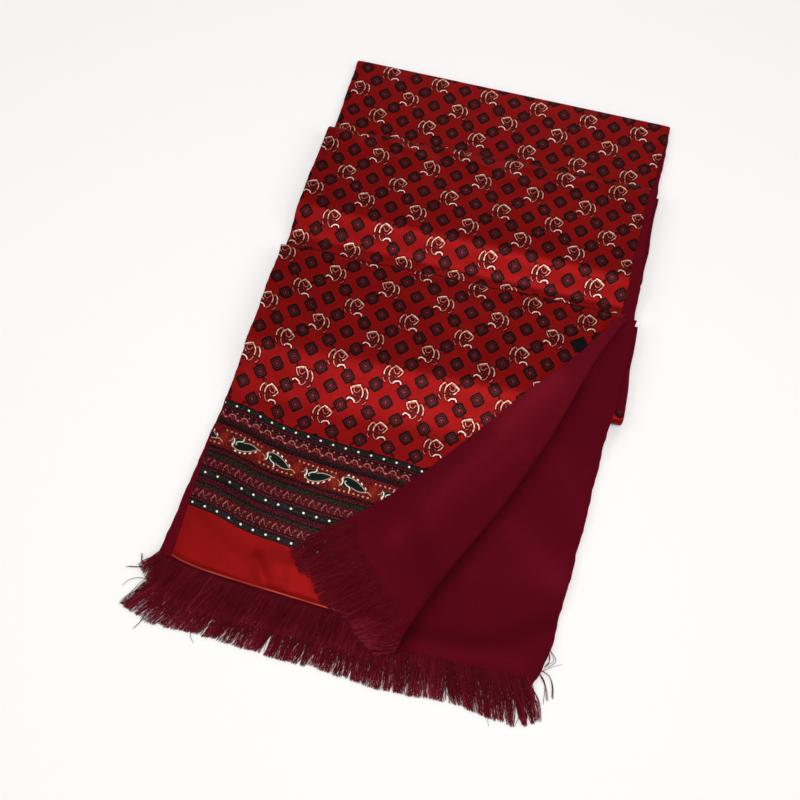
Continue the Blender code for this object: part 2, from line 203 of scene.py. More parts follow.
HOLLOW = (0.0007, 0.110, 0.085)              # height, length across and length along of the hollows
LOW_END = -0.245             # y of the lower ply's wool end
HIDDEN_RISE = 2 * PITCH      # height of the two doubled layers hidden below a slope


def lie(x, y, seed):
    """Shallow hollows of the cloth, never below its level: height * (1 + across) / 2 * (1 + along) / 2."""
    height, wide, long = HOLLOW
    across = wander(x, 1.0, wide, seed)
    along = wander(y, 1.0, long, seed + 1)
    return height * (0.5 + 0.5 * across) * (0.5 + 0.5 * along)


def near_height(x, y):
    """Middle height of the near run: on the surface, then up the slope on to the hidden layers."""
    return FIRST + HIDDEN_RISE * slope("under", x, y)


def mid_height(x, y):
    """Middle height of the mid run: on two hidden layers, and down to the surface at the third fold."""
    return FIRST + HIDDEN_RISE * slope("inner", x, y)


def low_relief(x, y):
    """Relief of the lower ply where it shows, never below its level, and level at both its ends."""
    calm = smooth((y - LOW_END) / 0.02) * smooth((line_y("third", x) - 0.012 - y) / 0.03)
    return np.maximum(creases(LOW_CREASES, x, y) + LOW_BED, 0.0) * calm


def near_relief(x, y):
    """Relief of the near run's top ply, added to what lies below it."""
    calm = smooth((line_y("third", x) - y) / 0.02)
    return low_relief(x, y) + (lie(x, y, 3) + np.maximum(creases(NEAR_CREASES, x, y), -0.0004)) * calm


def mid_relief(x, y):
    """Relief of the mid run, level at the second fold, and a heave that ends 12 mm beyond the third."""
    beyond = y - line_y("third", x)
    calm = smooth((line_y("second", x) - y) / 0.007) * smooth(beyond / 0.02)
    heave = HEAVE * smooth((beyond + 0.0005) / 0.0025) * (1 - smooth((beyond - 0.002) / 0.010))
    heave = heave * (0.75 + 0.25 * wander(x, 1.0, 0.070, 12))
    return (lie(x, y, 8) + np.maximum(creases(MID_CREASES, x, y), 0.0)) * calm + heave


print(len(NEAR_CREASES) + len(MID_CREASES) + len(LOW_CREASES) + len(CORNER_CREASES), "creases placed")

# %% [markdown]
# ## From grids to cloth
# Each panel is worked out as a plan, a grid of (x, y) points between a left and a right edge curve, then
# raised to its height in the pile. Two such faces close into a wall whose rim is rounded by thinning it
# there: thickness * sqrt(1 - (1 - d / rim)^2) at the distance d from an edge.

# %% Curves and grids


def curve(points, shares):
    """A smooth curve through the points at the given shares of its length: cubic Hermite between them."""
    points = np.array(points, dtype=float)
    steps = np.linalg.norm(np.diff(points, axis=0), axis=1)
    at = np.concatenate(([0.0], np.cumsum(steps))) / steps.sum()
    slopes = np.gradient(points, at, axis=0) if len(points) > 2 else np.repeat(points[1:] - points[:1], 2, 0)
    shares = np.asarray(shares, dtype=float)
    leg = np.clip(np.searchsorted(at, shares, side="right") - 1, 0, len(at) - 2)
    span = (at[leg + 1] - at[leg])[:, None]
    t = (shares - at[leg])[:, None] / span
    return ((2 * t ** 3 - 3 * t ** 2 + 1) * points[leg] + (t ** 3 - 2 * t ** 2 + t) * span * slopes[leg]
            + (3 * t ** 2 - 2 * t ** 3) * points[leg + 1] + (t ** 3 - t ** 2) * span * slopes[leg + 1])


def length_of(line):
    """Length of a dense line, seen from above."""
    return float(np.hypot(*np.diff(line[:, :2], axis=0).T).sum())


def until(points, name, beyond, start=None):
    """The part of an edge curve from y = start(x) up to the line beyond a fold line, as dense points."""
    dense = curve(points, np.linspace(0.0, 1.0, 400))
    keep = dense[:, 1] <= line_y(name, dense[:, 0]) + beyond
    if start is not None:
        keep &= dense[:, 1] >= start(dense[:, 0])
    first, last = np.flatnonzero(keep)[[0, -1]]
    part = dense[first:last + 1].copy()
    part[-1, 1] = line_y(name, part[-1, 0]) + beyond
    if start is not None:
        part[0, 1] = start(part[0, 0])
    return part


def resample(part, shares):
    """Rows of a dense line at the given shares of its length; columns past the first two follow along."""
    steps = np.hypot(*np.diff(part[:, :2], axis=0).T)
    at = np.concatenate(([0.0], np.cumsum(steps))) / steps.sum()
    return np.stack([np.interp(shares, at, column) for column in part.T], axis=-1)


RIM = 0.0007                 # reach of a rounded edge
RIM_STEPS = (0.0, 0.05, 0.18, 0.45, 0.8, 1.3, 2.0, 2.8)      # places of the extra rows, in reaches
THINNEST = 0.08              # share of its thickness that a wall keeps at its very edge


def rimmed(count, width, first=True, last=True):
    """Shares from 0 to 1, evenly spaced, with extra ones close to the ends for a rounded rim."""
    rim = np.array(RIM_STEPS) * RIM / width
    start = rim if first else np.array([0.0])
    end = 1.0 - rim[::-1] if last else np.array([1.0])
    inner = np.linspace(0.0, 1.0, count)[1:-1]
    clear = 0.25 / count
    inner = inner[(inner > start[-1] + clear) & (inner < end[0] - clear)]
    return np.concatenate([start, inner, end])


def swayed(plan, name, reach, length, seed):
    """Let a fold's edge stray outwards: y + reach (1 + drift) / 2, fading over 30 mm before the fold line."""
    ease = smooth((plan[..., 1] - line_y(name, plan[..., 0])) / 0.030 + 1.0)
    plan[..., 1] += reach * (0.5 + 0.5 * wander(plan[..., 0], 1.0, length, seed)) * ease


def fullness(shares, width, first=True, last=True):
    """Thickness as a share of the whole at each share across: a quarter ellipse at the rounded ends."""
    near = shares * width / RIM if first else np.ones_like(shares)
    far = (1 - shares) * width / RIM if last else np.ones_like(shares)
    inward = np.clip(np.minimum(near, far), 0.0, 1.0)
    return np.sqrt(1 - (1 - inward) ** 2) * (1 - THINNEST) + THINNEST


def spread(left, right, shares):
    """A plan grid: each row runs straight from the left curve's point to the right curve's."""
    return left[:, None, :] * (1 - shares)[None, :, None] + right[:, None, :] * shares[None, :, None]


print("a rim is rounded over", RIM * 1000, "mm")

# %% Closed walls


def grid_faces(rows, columns):
    """Index grids of the quads of a closed wall: upper, under, and the four rims."""
    at = np.arange(rows * columns).reshape(rows, columns)
    top = at + rows * columns
    upper = np.stack([top[:-1, :-1], top[:-1, 1:], top[1:, 1:], top[1:, :-1]], axis=-1).reshape(-1, 4)
    under = np.stack([at[:-1, :-1], at[1:, :-1], at[1:, 1:], at[:-1, 1:]], axis=-1).reshape(-1, 4)
    rims = np.concatenate([
        np.stack([at[:-1, 0], top[:-1, 0], top[1:, 0], at[1:, 0]], axis=-1),
        np.stack([at[:-1, -1], at[1:, -1], top[1:, -1], top[:-1, -1]], axis=-1),
        np.stack([at[0, :-1], at[0, 1:], top[0, 1:], top[0, :-1]], axis=-1),
        np.stack([at[-1, :-1], top[-1, :-1], top[-1, 1:], at[-1, 1:]], axis=-1)])
    return upper, under, rims


def new_piece(name, points, quads, finish):
    """A smooth-shaded mesh piece that rides on the scarf's one body."""
    mesh = bpy.data.meshes.new(name)
    mesh.from_pydata(points, [], quads)
    mesh.polygons.foreach_set("use_smooth", np.ones(len(mesh.polygons), dtype=bool))
    mesh.materials.append(finish)
    mesh.update()
    piece = bpy.data.objects.new(name, mesh)
    bpy.context.scene.collection.objects.link(piece)
    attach(piece, "root")
    return piece


def give_uv(piece, name, values):
    """Write one UV map from an array of a pair for each face corner."""
    layer = piece.data.uv_layers.new(name=name)
    layer.data.foreach_set("uv", np.ascontiguousarray(values, dtype=np.float32).ravel())


def give_value(piece, name, values):
    """Write one number a point on a wall: the under face's points come first, then the upper face's."""
    layer = piece.data.attributes.new(name, "FLOAT", "POINT")
    layer.data.foreach_set("value", np.tile(values.ravel(), 2).astype(np.float32))


def bake_square(rows, columns, corners, edge):
    """Bake map of one wall: four fifths for the upper face, its border for the rims, a fifth for the under."""
    across, along = np.meshgrid(np.linspace(0, 1, columns), np.linspace(0, 1, rows))
    flat = np.stack([across, along], axis=-1).reshape(-1, 2)
    above = flat * (0.79, 0.99) + 0.005
    below = flat * (0.18, 0.99) + (0.81, 0.005)
    square = np.concatenate([below, above])[corners]
    square[edge:] = np.tile(above, (2, 1))[corners[edge:]]
    return square


def walls(name, sheets, finish):
    """Closed walls in one piece, each (under, upper, pattern), the pattern in metres of cloth a point."""
    points, quads, cloth, square = [], [], [], []
    start = 0
    for place, (under, upper, pattern) in enumerate(sheets):
        rows, columns = under.shape[:2]
        points += [under.reshape(-1, 3), upper.reshape(-1, 3)]
        up, down, rims = grid_faces(rows, columns)
        faces = np.concatenate([up, down, rims])
        corners = faces.ravel()
        quads.append(faces + start)
        start += 2 * rows * columns
        cloth.append(np.tile(pattern.reshape(-1, 2), (2, 1))[corners])
        cell = bake_square(rows, columns, corners, 4 * (len(up) + len(down)))
        square.append((cell + (place, 0.0)) / (len(sheets), 1.0))
    piece = new_piece(name, np.concatenate(points), np.concatenate(quads), finish)
    give_uv(piece, "cloth", np.concatenate(cloth))
    give_uv(piece, "OFBake", np.concatenate(square))
    print(name, "has", len(piece.data.polygons), "quads")
    return piece


print("wall helpers ready")

# %% Folding


def with_turn(face, way, radius):
    """Add a half turn beyond a face's far row: centre + radius (sin a * outward + cos a * up)."""
    angle = np.linspace(0.0, math.pi, TURN_STEPS + 1)[1:, None]
    radius = np.broadcast_to(radius, face.shape[1:2])[None]
    centre = face[-1].copy()
    centre[:, 2] -= radius[0]
    swing = np.repeat(centre[None], TURN_STEPS, axis=0)
    swing[..., :2] += (np.sin(angle) * radius)[..., None] * way[None]
    swing[..., 2] += np.cos(angle) * radius
    return np.concatenate([face, swing], axis=0)


def way_of(plan):
    """Unit direction in which each column runs away from the viewer at the far row."""
    step = plan[-1] - plan[-2]
    return step / np.linalg.norm(step, axis=-1, keepdims=True)


def raised(plan, z):
    """A face: the plan's points at their heights."""
    return np.concatenate([plan, z[..., None]], axis=-1)


def girth(face):
    """Length of cloth from the face's first row to each row, down each column."""
    steps = np.linalg.norm(np.diff(face, axis=0), axis=-1)
    return np.concatenate([np.zeros((1, face.shape[1])), np.cumsum(steps, axis=0)])


print("helpers ready")

# %% [markdown]
# ## Print on the cloth
# The print is laid out in metres of cloth: one UV unit is a metre. Across, zero is a column of roses.
# Along, zero is the border's inner edge: below it lie the border and the plain end, and above it a row of
# roses every 47.5 mm. Each run of the scarf shows another stretch of that print.

# %% Print sizes
ROSE_ACROSS = 0.0482         # from rose to rose across the scarf
ROSE_ALONG = 0.0475          # from rose to rose along it
FIRST_ROSES = 0.0191         # from the border to the first row of roses
#            x of a rose  y of a rose  pitch across  pitch along  rows from the border
PRINT_AT = {
    "near": (-0.0183, -0.0310, 0.0482, 0.0475, 1),
    "mid":  (-0.0163, 0.1400, 0.0473, 0.0458, 6),
    "far":  (-0.0090, 0.2110, 0.0472, 0.0472, 10),
}
# the weft is drawn up towards the left edge of the near run
#              x        rise
WEFT_RISE = ((-0.160, 0.0110), (-0.146, 0.0104), (-0.127, 0.0090), (-0.116, 0.0068), (-0.105, 0.0043),
             (-0.094, 0.0024), (-0.083, 0.0014), (-0.072, 0.0012), (-0.061, 0.0006), (-0.050, 0.0),
             (0.004, 0.0), (0.030, -0.0015), (0.077, -0.0030), (0.103, -0.0050), (0.160, -0.0070))


def print_on(run, x, y):
    """Cloth coordinates of plan points: distances from a known rose, scaled to the even pitch."""
    x_rose, y_rose, across, along, rows = PRINT_AT[run]
    rise = np.interp(x, *np.array(WEFT_RISE).T) if run == "near" else 0.0
    return np.stack([(x - x_rose) * ROSE_ACROSS / across,
                     FIRST_ROSES + rows * ROSE_ALONG + (y - rise - y_rose) * ROSE_ALONG / along], axis=-1)


def print_round(run, plan, face):
    """Cloth coordinates of a face that turns down at its far row: the turn adds its own length."""
    uv = print_on(run, plan[..., 0], plan[..., 1])
    rows = len(plan)
    extra = girth(face[rows - 1:])[1:]
    rest = np.repeat(uv[-1:], len(face) - rows, axis=0)
    rest[..., 1] += extra
    return np.concatenate([uv, rest], axis=0)


print("roses every", ROSE_ACROSS * 1000, "by", ROSE_ALONG * 1000, "mm")

# %% [markdown]
# ## Finishes
# The print could be an image, but here it is worked out by nodes, so it stays sharp at any distance. Each
# pen stroke is an arc, and one small group measures how far a point lies from an arc. The rose, the
# squares and the border are groups too, all in millimetres of cloth, and the two satin finishes use them.

# %% Tools for node trees


def paint(red, green, blue):
    """A colour as seen on a screen, 0 to 255, made linear."""
    return tuple(((c / 255 + 0.055) / 1.055) ** 2.4 if c > 10 else c / 255 / 12.92
                 for c in (red, green, blue)) + (1.0,)


def wire(tree, node, inputs):
    """Link each socket given, and set each plain value."""
    for socket, value in zip(node.inputs, inputs):
        if isinstance(value, bpy.types.NodeSocket):
            tree.links.new(value, socket)
        elif value is not None:
            socket.default_value = value
    return node


def op(tree, kind, *inputs, clamp=False):
    """A Math node's result."""
    node = tree.nodes.new("ShaderNodeMath")
    node.operation = kind
    node.use_clamp = clamp
    return wire(tree, node, inputs).outputs[0]


def vec(tree, kind, *inputs):
    """A Vector Math node's vector result."""
    node = tree.nodes.new("ShaderNodeVectorMath")
    node.operation = kind
    return wire(tree, node, inputs).outputs["Value" if kind in ("DISTANCE", "LENGTH") else "Vector"]


def triple(tree, x, y):
    """A vector from two numbers."""
    return wire(tree, tree.nodes.new("ShaderNodeCombineXYZ"), (x, y)).outputs[0]


def apart(tree, vector):
    """The x and y of a vector."""
    node = wire(tree, tree.nodes.new("ShaderNodeSeparateXYZ"), (vector,))
    return node.outputs[0], node.outputs[1]


def over(tree, share, low, high):
    """Colour low with colour high laid over it by a share."""
    node = tree.nodes.new("ShaderNodeMix")
    node.data_type = "RGBA"
    return wire(tree, node, (share, None, None, None, None, None, low, high)).outputs[2]


def ramp(tree, value, stops, kind="LINEAR"):
    """A Color Ramp over (position, colour) stops."""
    node = wire(tree, tree.nodes.new("ShaderNodeValToRGB"), (value,))
    node.color_ramp.interpolation = kind
    elements = node.color_ramp.elements
    for place, (position, colour) in enumerate(stops):
        stop = elements[place] if place < 2 else elements.new(position)
        stop.position = position
        stop.color = colour
    return node.outputs[0]


def noise(tree, vector, scale, detail=2.0, roughness=0.5):
    """A noise texture's value."""
    node = tree.nodes.new("ShaderNodeTexNoise")
    return wire(tree, node, (vector, None, scale, detail, roughness)).outputs[0]


def group(name, takes, gives):
    """An empty node group: takes and gives are (name, socket type) pairs."""
    tree = bpy.data.node_groups.new(name, "ShaderNodeTree")
    for label, kind in takes:
        tree.interface.new_socket(label, in_out="INPUT", socket_type="NodeSocket" + kind)
    for label, kind in gives:
        tree.interface.new_socket(label, in_out="OUTPUT", socket_type="NodeSocket" + kind)
    entry = tree.nodes.new("NodeGroupInput")
    exits = tree.nodes.new("NodeGroupOutput")
    return tree, entry.outputs, exits.inputs


def fill(tree, node, **inputs):
    """Link or set a node's sockets, given by name with underscores for spaces."""
    for label, value in inputs.items():
        socket = node.inputs[label.replace("_", " ")]
        if isinstance(value, bpy.types.NodeSocket):
            tree.links.new(value, socket)
        else:
            socket.default_value = value
    return node


def use(tree, made, **inputs):
    """Place a group in a tree, with its sockets given by name."""
    node = tree.nodes.new("ShaderNodeGroup")
    node.node_tree = made
    return fill(tree, node, **inputs).outputs


print("node tools ready")

# %% [markdown]
# ### Pen stroke
# The distance to an arc: turn the point so that the arc's middle lies on the x axis, fold it into the
# upper half, hold its angle within the arc's half sweep, and measure to the point at that angle. The ink
# is full within half the stroke's width and fades over a quarter of a millimetre.

# %% Stroke group
STROKE, takes, gives = group(
    "pen stroke",
    [("Point", "Vector"), ("Centre", "Vector"), ("Turn", "Float"), ("Radius", "Float"),
     ("Half Sweep", "Float"), ("Half Width", "Float"), ("Tone", "Float")],
    [("Ink", "Float"), ("Halo", "Float")])
turned = STROKE.nodes.new("ShaderNodeVectorRotate")
turned.rotation_type = "Z_AXIS"
turned.invert = True
fill(STROKE, turned, Vector=vec(STROKE, "SUBTRACT", takes["Point"], takes["Centre"]), Angle=takes["Turn"])
x, y = apart(STROKE, turned.outputs[0])
y = op(STROKE, "ABSOLUTE", y)
angle = op(STROKE, "MINIMUM", op(STROKE, "ARCTAN2", y, x), takes["Half Sweep"])
near_x = op(STROKE, "MULTIPLY", op(STROKE, "COSINE", angle), takes["Radius"])
near_y = op(STROKE, "MULTIPLY", op(STROKE, "SINE", angle), takes["Radius"])
far = vec(STROKE, "DISTANCE", triple(STROKE, x, y), triple(STROKE, near_x, near_y))
within = op(STROKE, "SUBTRACT", takes["Half Width"], far)
ink = op(STROKE, "MULTIPLY_ADD", within, 4.0, 0.5, clamp=True)
STROKE.links.new(op(STROKE, "MULTIPLY", ink, takes["Tone"]), gives["Ink"])
STROKE.links.new(op(STROKE, "MULTIPLY_ADD", within, 1.0, 1.40, clamp=True), gives["Halo"])


def draw(tree, point, strokes):
    """Ink and halo of strokes, each (x0, y0, x1, y1, bulge, width, tone) in mm; the bulge is to the left."""
    ink, halo = None, None
    for x0, y0, x1, y1, bulge, width, tone in strokes:
        chord = math.hypot(x1 - x0, y1 - y0)
        radius = chord ** 2 / (8 * abs(bulge)) + abs(bulge) / 2
        side = math.copysign(1.0, bulge)
        normal = (-(y1 - y0) / chord * side, (x1 - x0) / chord * side)
        deep = radius - abs(bulge)
        centre = ((x0 + x1) / 2 - normal[0] * deep, (y0 + y1) / 2 - normal[1] * deep, 0.0)
        mark = use(tree, STROKE, Point=point, Centre=centre, Turn=math.atan2(normal[1], normal[0]),
                   Radius=radius, Half_Sweep=math.atan2(chord / 2, deep), Half_Width=width / 2,
                   Tone=tone)
        ink = mark["Ink"] if ink is None else op(tree, "MAXIMUM", ink, mark["Ink"])
        halo = mark["Halo"] if halo is None else op(tree, "MAXIMUM", halo, mark["Halo"])
    return ink, halo


print("stroke group has", len(STROKE.nodes), "nodes")

# %% [markdown]
# ### Roses and squares
# The repeat is an ordinary one for neckwear: outlined roses on a half-drop lattice, every second row
# mirrored, with small ringed squares on their corners between them. The rose is drawn here with
# sixteen strokes. Lattices are folded: the remainder of a coordinate by the pitch, centred.

# %% Rose group
#                 x0    y0    x1    y1    bulge  width  tone
ROSE_STROKES = ((-7.8, -2.0, -5.7, 5.0, 1.0, 1.25, 0.88),
                (-5.3, 6.0, -3.7, 4.2, 0.4, 0.85, 0.62),
                (-5.5, 2.4, -5.3, -2.6, -0.4, 0.60, 0.36),
                (-7.7, -5.0, -5.4, -7.6, -0.4, 0.95, 0.60),
                (-3.4, -1.7, -0.5, 6.0, 1.4, 1.15, 0.92),
                (-2.9, -3.6, 0.2, -7.7, -0.7, 1.00, 0.66),
                (0.0, 7.0, 6.2, 4.2, 0.4, 1.40, 1.00),
                (0.6, 5.3, 4.9, 3.5, 0.3, 0.60, 0.62),
                (7.3, 3.9, 4.1, -1.3, 0.6, 1.00, 0.90),
                (4.3, 3.0, 2.3, 0.7, 0.7, 0.80, 0.68),
                (-0.9, 3.4, 0.1, 2.2, 0.2, 0.95, 0.55),
                (0.3, 1.4, 1.5, 0.5, 0.2, 0.90, 0.62),
                (0.8, -1.3, 2.9, -2.9, 0.3, 0.70, 0.48),
                (-1.5, -1.2, -0.4, -3.6, 0.2, 0.60, 0.34),
                (1.5, -7.2, 4.7, -4.8, 0.6, 1.20, 1.22),
                (4.7, -4.8, 7.8, -6.3, 0.8, 1.25, 1.16))
SHIFT = 0.8                  # mirrored rows of roses sit this far beyond their even place, mm
FINE = 0.84                  # the strokes come out this much finer on the cloth

MOTIFS, takes, gives = group("rose lattice", [("Across", "Float"), ("Along", "Float")],
                             [("Ink", "Float"), ("Shade", "Float"), ("Ring", "Float")])
tree = MOTIFS
half_x = ROSE_ACROSS * 500
half_y = ROSE_ALONG * 500
row = op(tree, "FLOOR", op(tree, "MULTIPLY_ADD", takes["Along"], 1 / half_y, 0.5))
odd = op(tree, "PINGPONG", row, 1.0)
flip = op(tree, "MULTIPLY_ADD", odd, -2.0, 1.0)
x_row = op(tree, "WRAP", op(tree, "MULTIPLY_ADD", odd, -half_x, takes["Across"]), half_x, -half_x)
y_row = op(tree, "WRAP", takes["Along"], half_y / 2, -half_y / 2)
point = triple(tree, op(tree, "MULTIPLY", x_row, flip), op(tree, "MULTIPLY_ADD", odd, -SHIFT, y_row))
ink, halo = draw(tree, point, [(*stroke[:5], stroke[5] * FINE, stroke[6]) for stroke in ROSE_STROKES])
whole = op(tree, "GREATER_THAN", takes["Along"], -half_y / 2)
tree.links.new(op(tree, "MULTIPLY", ink, whole), gives["Ink"])
halo = op(tree, "MULTIPLY", halo, whole)
# the darker body of the rose, and stems to the squares
body = vec(tree, "LENGTH", vec(tree, "MULTIPLY", vec(tree, "SUBTRACT", point, (1.2, 1.0, 0.0)),
                               (1 / 5.6, 1 / 5.4, 0.0)))
body = op(tree, "MULTIPLY", op(tree, "MULTIPLY_ADD", body, -4.0, 4.4, clamp=True), whole)
x_abs = op(tree, "ABSOLUTE", x_row)
y_abs = op(tree, "ABSOLUTE", y_row)
aside = op(tree, "ABSOLUTE", op(tree, "SUBTRACT", x_abs, y_abs))
reach = op(tree, "ABSOLUTE", op(tree, "SUBTRACT", x_abs, 8.0))
stem = op(tree, "MULTIPLY", op(tree, "MULTIPLY_ADD", aside, -1.2, 2.6, clamp=True),
          op(tree, "MULTIPLY_ADD", reach, -1.0, 3.6, clamp=True))
shade = op(tree, "MAXIMUM", op(tree, "MULTIPLY", body, 0.72), op(tree, "MULTIPLY", stem, 0.80))
tree.links.new(op(tree, "MAXIMUM", shade, op(tree, "MULTIPLY", halo, 0.92)), gives["Shade"])


def corner_square(tree, x, y):
    """Size of the rounded square on its corner that passes through a point: a p-norm, p = 1.25."""
    x = op(tree, "POWER", op(tree, "ABSOLUTE", x), 1.25)
    y = op(tree, "POWER", op(tree, "ABSOLUTE", y), 1.25)
    return op(tree, "POWER", op(tree, "ADD", x, y), 1 / 1.25)


lone_x = op(tree, "WRAP", op(tree, "MULTIPLY_ADD", op(tree, "SUBTRACT", 1.0, odd), -half_x,
                             takes["Across"]), half_x, -half_x)
linked_x = op(tree, "WRAP", op(tree, "SUBTRACT", takes["Across"], half_x / 2), half_x / 2, -half_x / 2)
linked_y = op(tree, "WRAP", op(tree, "SUBTRACT", takes["Along"], half_y / 2), half_y / 2, -half_y / 2)
tree.links.new(op(tree, "MINIMUM", corner_square(tree, lone_x, y_row),
                  corner_square(tree, linked_x, linked_y)), gives["Ring"])
print("rose lattice has", len(MOTIFS.nodes), "nodes and", len(ROSE_STROKES), "strokes")

# %% [markdown]
# ### Border
# Towards the fringe the roses give way to a border of woven-looking bands: dotted bands, a running
# scroll, paisleys that turn over one by one, and two rows of zigzag. The band colours are one ramp.

# %% Border group
BLACK = paint(13, 4, 7)
GREEN = paint(25, 37, 29)
OLIVE = paint(34, 37, 24)
CRIMSON = paint(86, 7, 21)
RED_LINE = paint(104, 14, 24)
#                from mm, colour
BANDS = ((0.0, BLACK), (1.0, GREEN), (4.9, BLACK), (5.7, RED_LINE), (6.8, paint(24, 5, 10)),
         (8.4, paint(60, 6, 17)), (10.0, paint(88, 9, 24)), (16.2, paint(40, 6, 14)), (19.6, BLACK),
         (21.2, RED_LINE), (22.6, paint(122, 16, 12)), (39.4, paint(88, 8, 17)), (40.6, paint(20, 3, 8)),
         (42.0, CRIMSON), (44.8, BLACK), (45.9, OLIVE), (49.7, CRIMSON), (57.9, paint(28, 5, 12)),
         (59.0, RED_LINE), (60.2, BLACK), (61.4, GREEN), (65.7, BLACK), (67.4, paint(76, 6, 26)),
         (71.5, BLACK), (72.7, OLIVE), (75.7, CRIMSON), (83.9, paint(28, 5, 12)), (85.1, RED_LINE),
         (86.2, BLACK), (87.4, GREEN), (91.7, paint(40, 4, 8)))
BORDER_END = 92.8
STITCH = 10.85               # pitch of the dots, scrolls and zigzags
PEARL = paint(232, 222, 208)
PINK = paint(188, 112, 104)

BORDER, takes, gives = group("border", [("Across", "Float"), ("Down", "Float")],
                             [("Colour", "Color"), ("Weight", "Float")])
tree = BORDER
u, t = takes["Across"], takes["Down"]
spot = triple(tree, u, t)
colour = ramp(tree, op(tree, "DIVIDE", t, 100.0), [(start / 100, shade) for start, shade in BANDS],
              "CONSTANT")


def inside(tree, value, low, high):
    """One between two limits and zero outside, with soft ends."""
    rise = op(tree, "MULTIPLY_ADD", value, 4.0, -4.0 * low + 0.5, clamp=True)
    fall = op(tree, "MULTIPLY_ADD", value, -4.0, 4.0 * high + 0.5, clamp=True)
    return op(tree, "MULTIPLY", rise, fall)


def folded(tree, value, phase, pitch):
    """The remainder of a coordinate by the pitch, centred on the phase."""
    return op(tree, "WRAP", op(tree, "SUBTRACT", value, phase), pitch / 2, -pitch / 2)


def blob(tree, x, y, wide, high, soft=2.5):
    """One inside an ellipse and zero outside."""
    size = vec(tree, "LENGTH", triple(tree, op(tree, "DIVIDE", x, wide), op(tree, "DIVIDE", y, high)))
    return op(tree, "MULTIPLY_ADD", size, -soft, soft + 0.5, clamp=True)


# slate blue stretches along the green bands
patches = noise(tree, vec(tree, "MULTIPLY", spot, (0.055, 0.021, 0.0)), 1.0, 2.0)
green_bands = op(tree, "ADD", op(tree, "ADD", inside(tree, t, 1.0, 4.9), inside(tree, t, 61.4, 65.7)),
                 inside(tree, t, 87.4, 91.7))
slate = op(tree, "MULTIPLY_ADD", patches, 9.0, -4.6, clamp=True)
colour = over(tree, op(tree, "MULTIPLY", green_bands, slate), colour, paint(30, 36, 48))
# the scroll's ground: dark green leaves, red blobs below and inside the arches
WAVE = 0.3                   # phase of the scroll's arches
#                               phase  pitch  height  wide  high  colour
for phase, pitch, middle, wide, high, shade in ((3.0 + 4.65, 9.3, 16.2, 2.0, 1.7, paint(96, 14, 34)),
                                                (3.0, 9.3, 17.7, 2.2, 1.6, paint(27, 31, 21)),
                                                (WAVE, STITCH, 13.0, 2.2, 2.0, paint(120, 16, 22))):
    patch = blob(tree, folded(tree, u, phase, pitch), op(tree, "SUBTRACT", t, middle), wide, high)
    colour = over(tree, patch, colour, shade)
# the weave breaks every band up into dark and light specks
weave = noise(tree, spot, 0.95, 2.0, 0.75)
colour = over(tree, op(tree, "MULTIPLY_ADD", weave, -6.5, 3.78, clamp=True), colour, BLACK)
lit = op(tree, "MULTIPLY", op(tree, "MULTIPLY_ADD", weave, 5.0, -2.75, clamp=True), 0.6)
wear_and_glint = op(tree, "MULTIPLY_ADD", weave, 5.0, -1.75, clamp=True)
colour = over(tree, lit, colour, over(tree, 0.3, colour, PINK))
#            phase  from the border's start
for phase, middle in ((0.8, 3.0), (-5.3, 63.7), (3.5, 89.6)):
    dot_x, dot_y = folded(tree, u, phase, STITCH), op(tree, "SUBTRACT", t, middle)
    colour = over(tree, blob(tree, dot_x, dot_y, 1.5, 1.5), colour, BLACK)
    colour = over(tree, blob(tree, dot_x, dot_y, 0.92, 0.85), colour, PEARL)


def pips(tree, colour, places, shade):
    """Lay small round pips, each (phase, height, radius, tone), over a colour once every stitch."""
    for phase, height, radius, tone in places:
        pip = blob(tree, folded(tree, u, phase, STITCH), op(tree, "SUBTRACT", t, height), radius, radius)
        colour = over(tree, op(tree, "MULTIPLY", pip, tone), colour, shade)
    return colour


# the scroll: an arch and its feet, with pips over it and within
arch, _ = draw(tree, triple(tree, folded(tree, u, WAVE, STITCH), op(tree, "SUBTRACT", t, 12.4)),
               ((-2.8, 0.4, 2.8, 0.2, -2.3, 0.85, 1.0), (2.8, 0.2, 4.6, 2.0, 0.3, 0.70, 0.7),
                (-2.8, 0.4, -4.4, 1.7, -0.3, 0.55, 0.5)))
colour = over(tree, op(tree, "MULTIPLY", arch, wear_and_glint), colour, PINK)
colour = pips(tree, colour, ((WAVE + 5.4, 14.3, 0.85, 0.9), (WAVE + 3.1, 8.9, 0.65, 0.8),
                             (WAVE - 1.6, 8.5, 0.5, 0.6), (WAVE - 1.3, 13.2, 0.4, 0.5),
                             (WAVE + 1.2, 13.5, 0.4, 0.5)), PINK)
# zigzags: a bright rising leg and a dim falling one, with pips below their feet
#          phase   top    tone of the falling leg
for phase, top, falling in ((-12.0, 51.6, 0.34), (-23.8, 78.0, 0.50)):
    leg_x = folded(tree, u, phase, STITCH)
    peak = op(tree, "MULTIPLY_ADD", op(tree, "ABSOLUTE", leg_x), 1.78, top)
    leg = op(tree, "MULTIPLY_ADD", op(tree, "ABSOLUTE", op(tree, "SUBTRACT", t, peak)), -1.7, 1.5, clamp=True)
    leg = op(tree, "MULTIPLY", leg, inside(tree, t, top - 0.4, top + 4.4))
    bright = op(tree, "MULTIPLY_ADD", op(tree, "GREATER_THAN", leg_x, 0.0), falling - 0.95, 0.95)
    colour = over(tree, op(tree, "MULTIPLY", op(tree, "MULTIPLY", leg, bright), wear_and_glint), colour, PINK)
    colour = pips(tree, colour, ((phase - 1.8, top + 5.4, 0.6, 0.7), (phase + 4.0, top + 5.4, 0.6, 0.6),
                                 (phase + 2.3, top + 5.0, 0.4, 0.4), (phase + 5.4, top + 1.2, 0.9, 0.5),
                                 (phase + 4.3, top + 3.0, 0.5, 0.5), (phase - 4.4, top + 0.6, 0.5, 0.4)),
                  paint(152, 82, 74))
print(len(BANDS), "bands end", BORDER_END, "mm from the border's start")

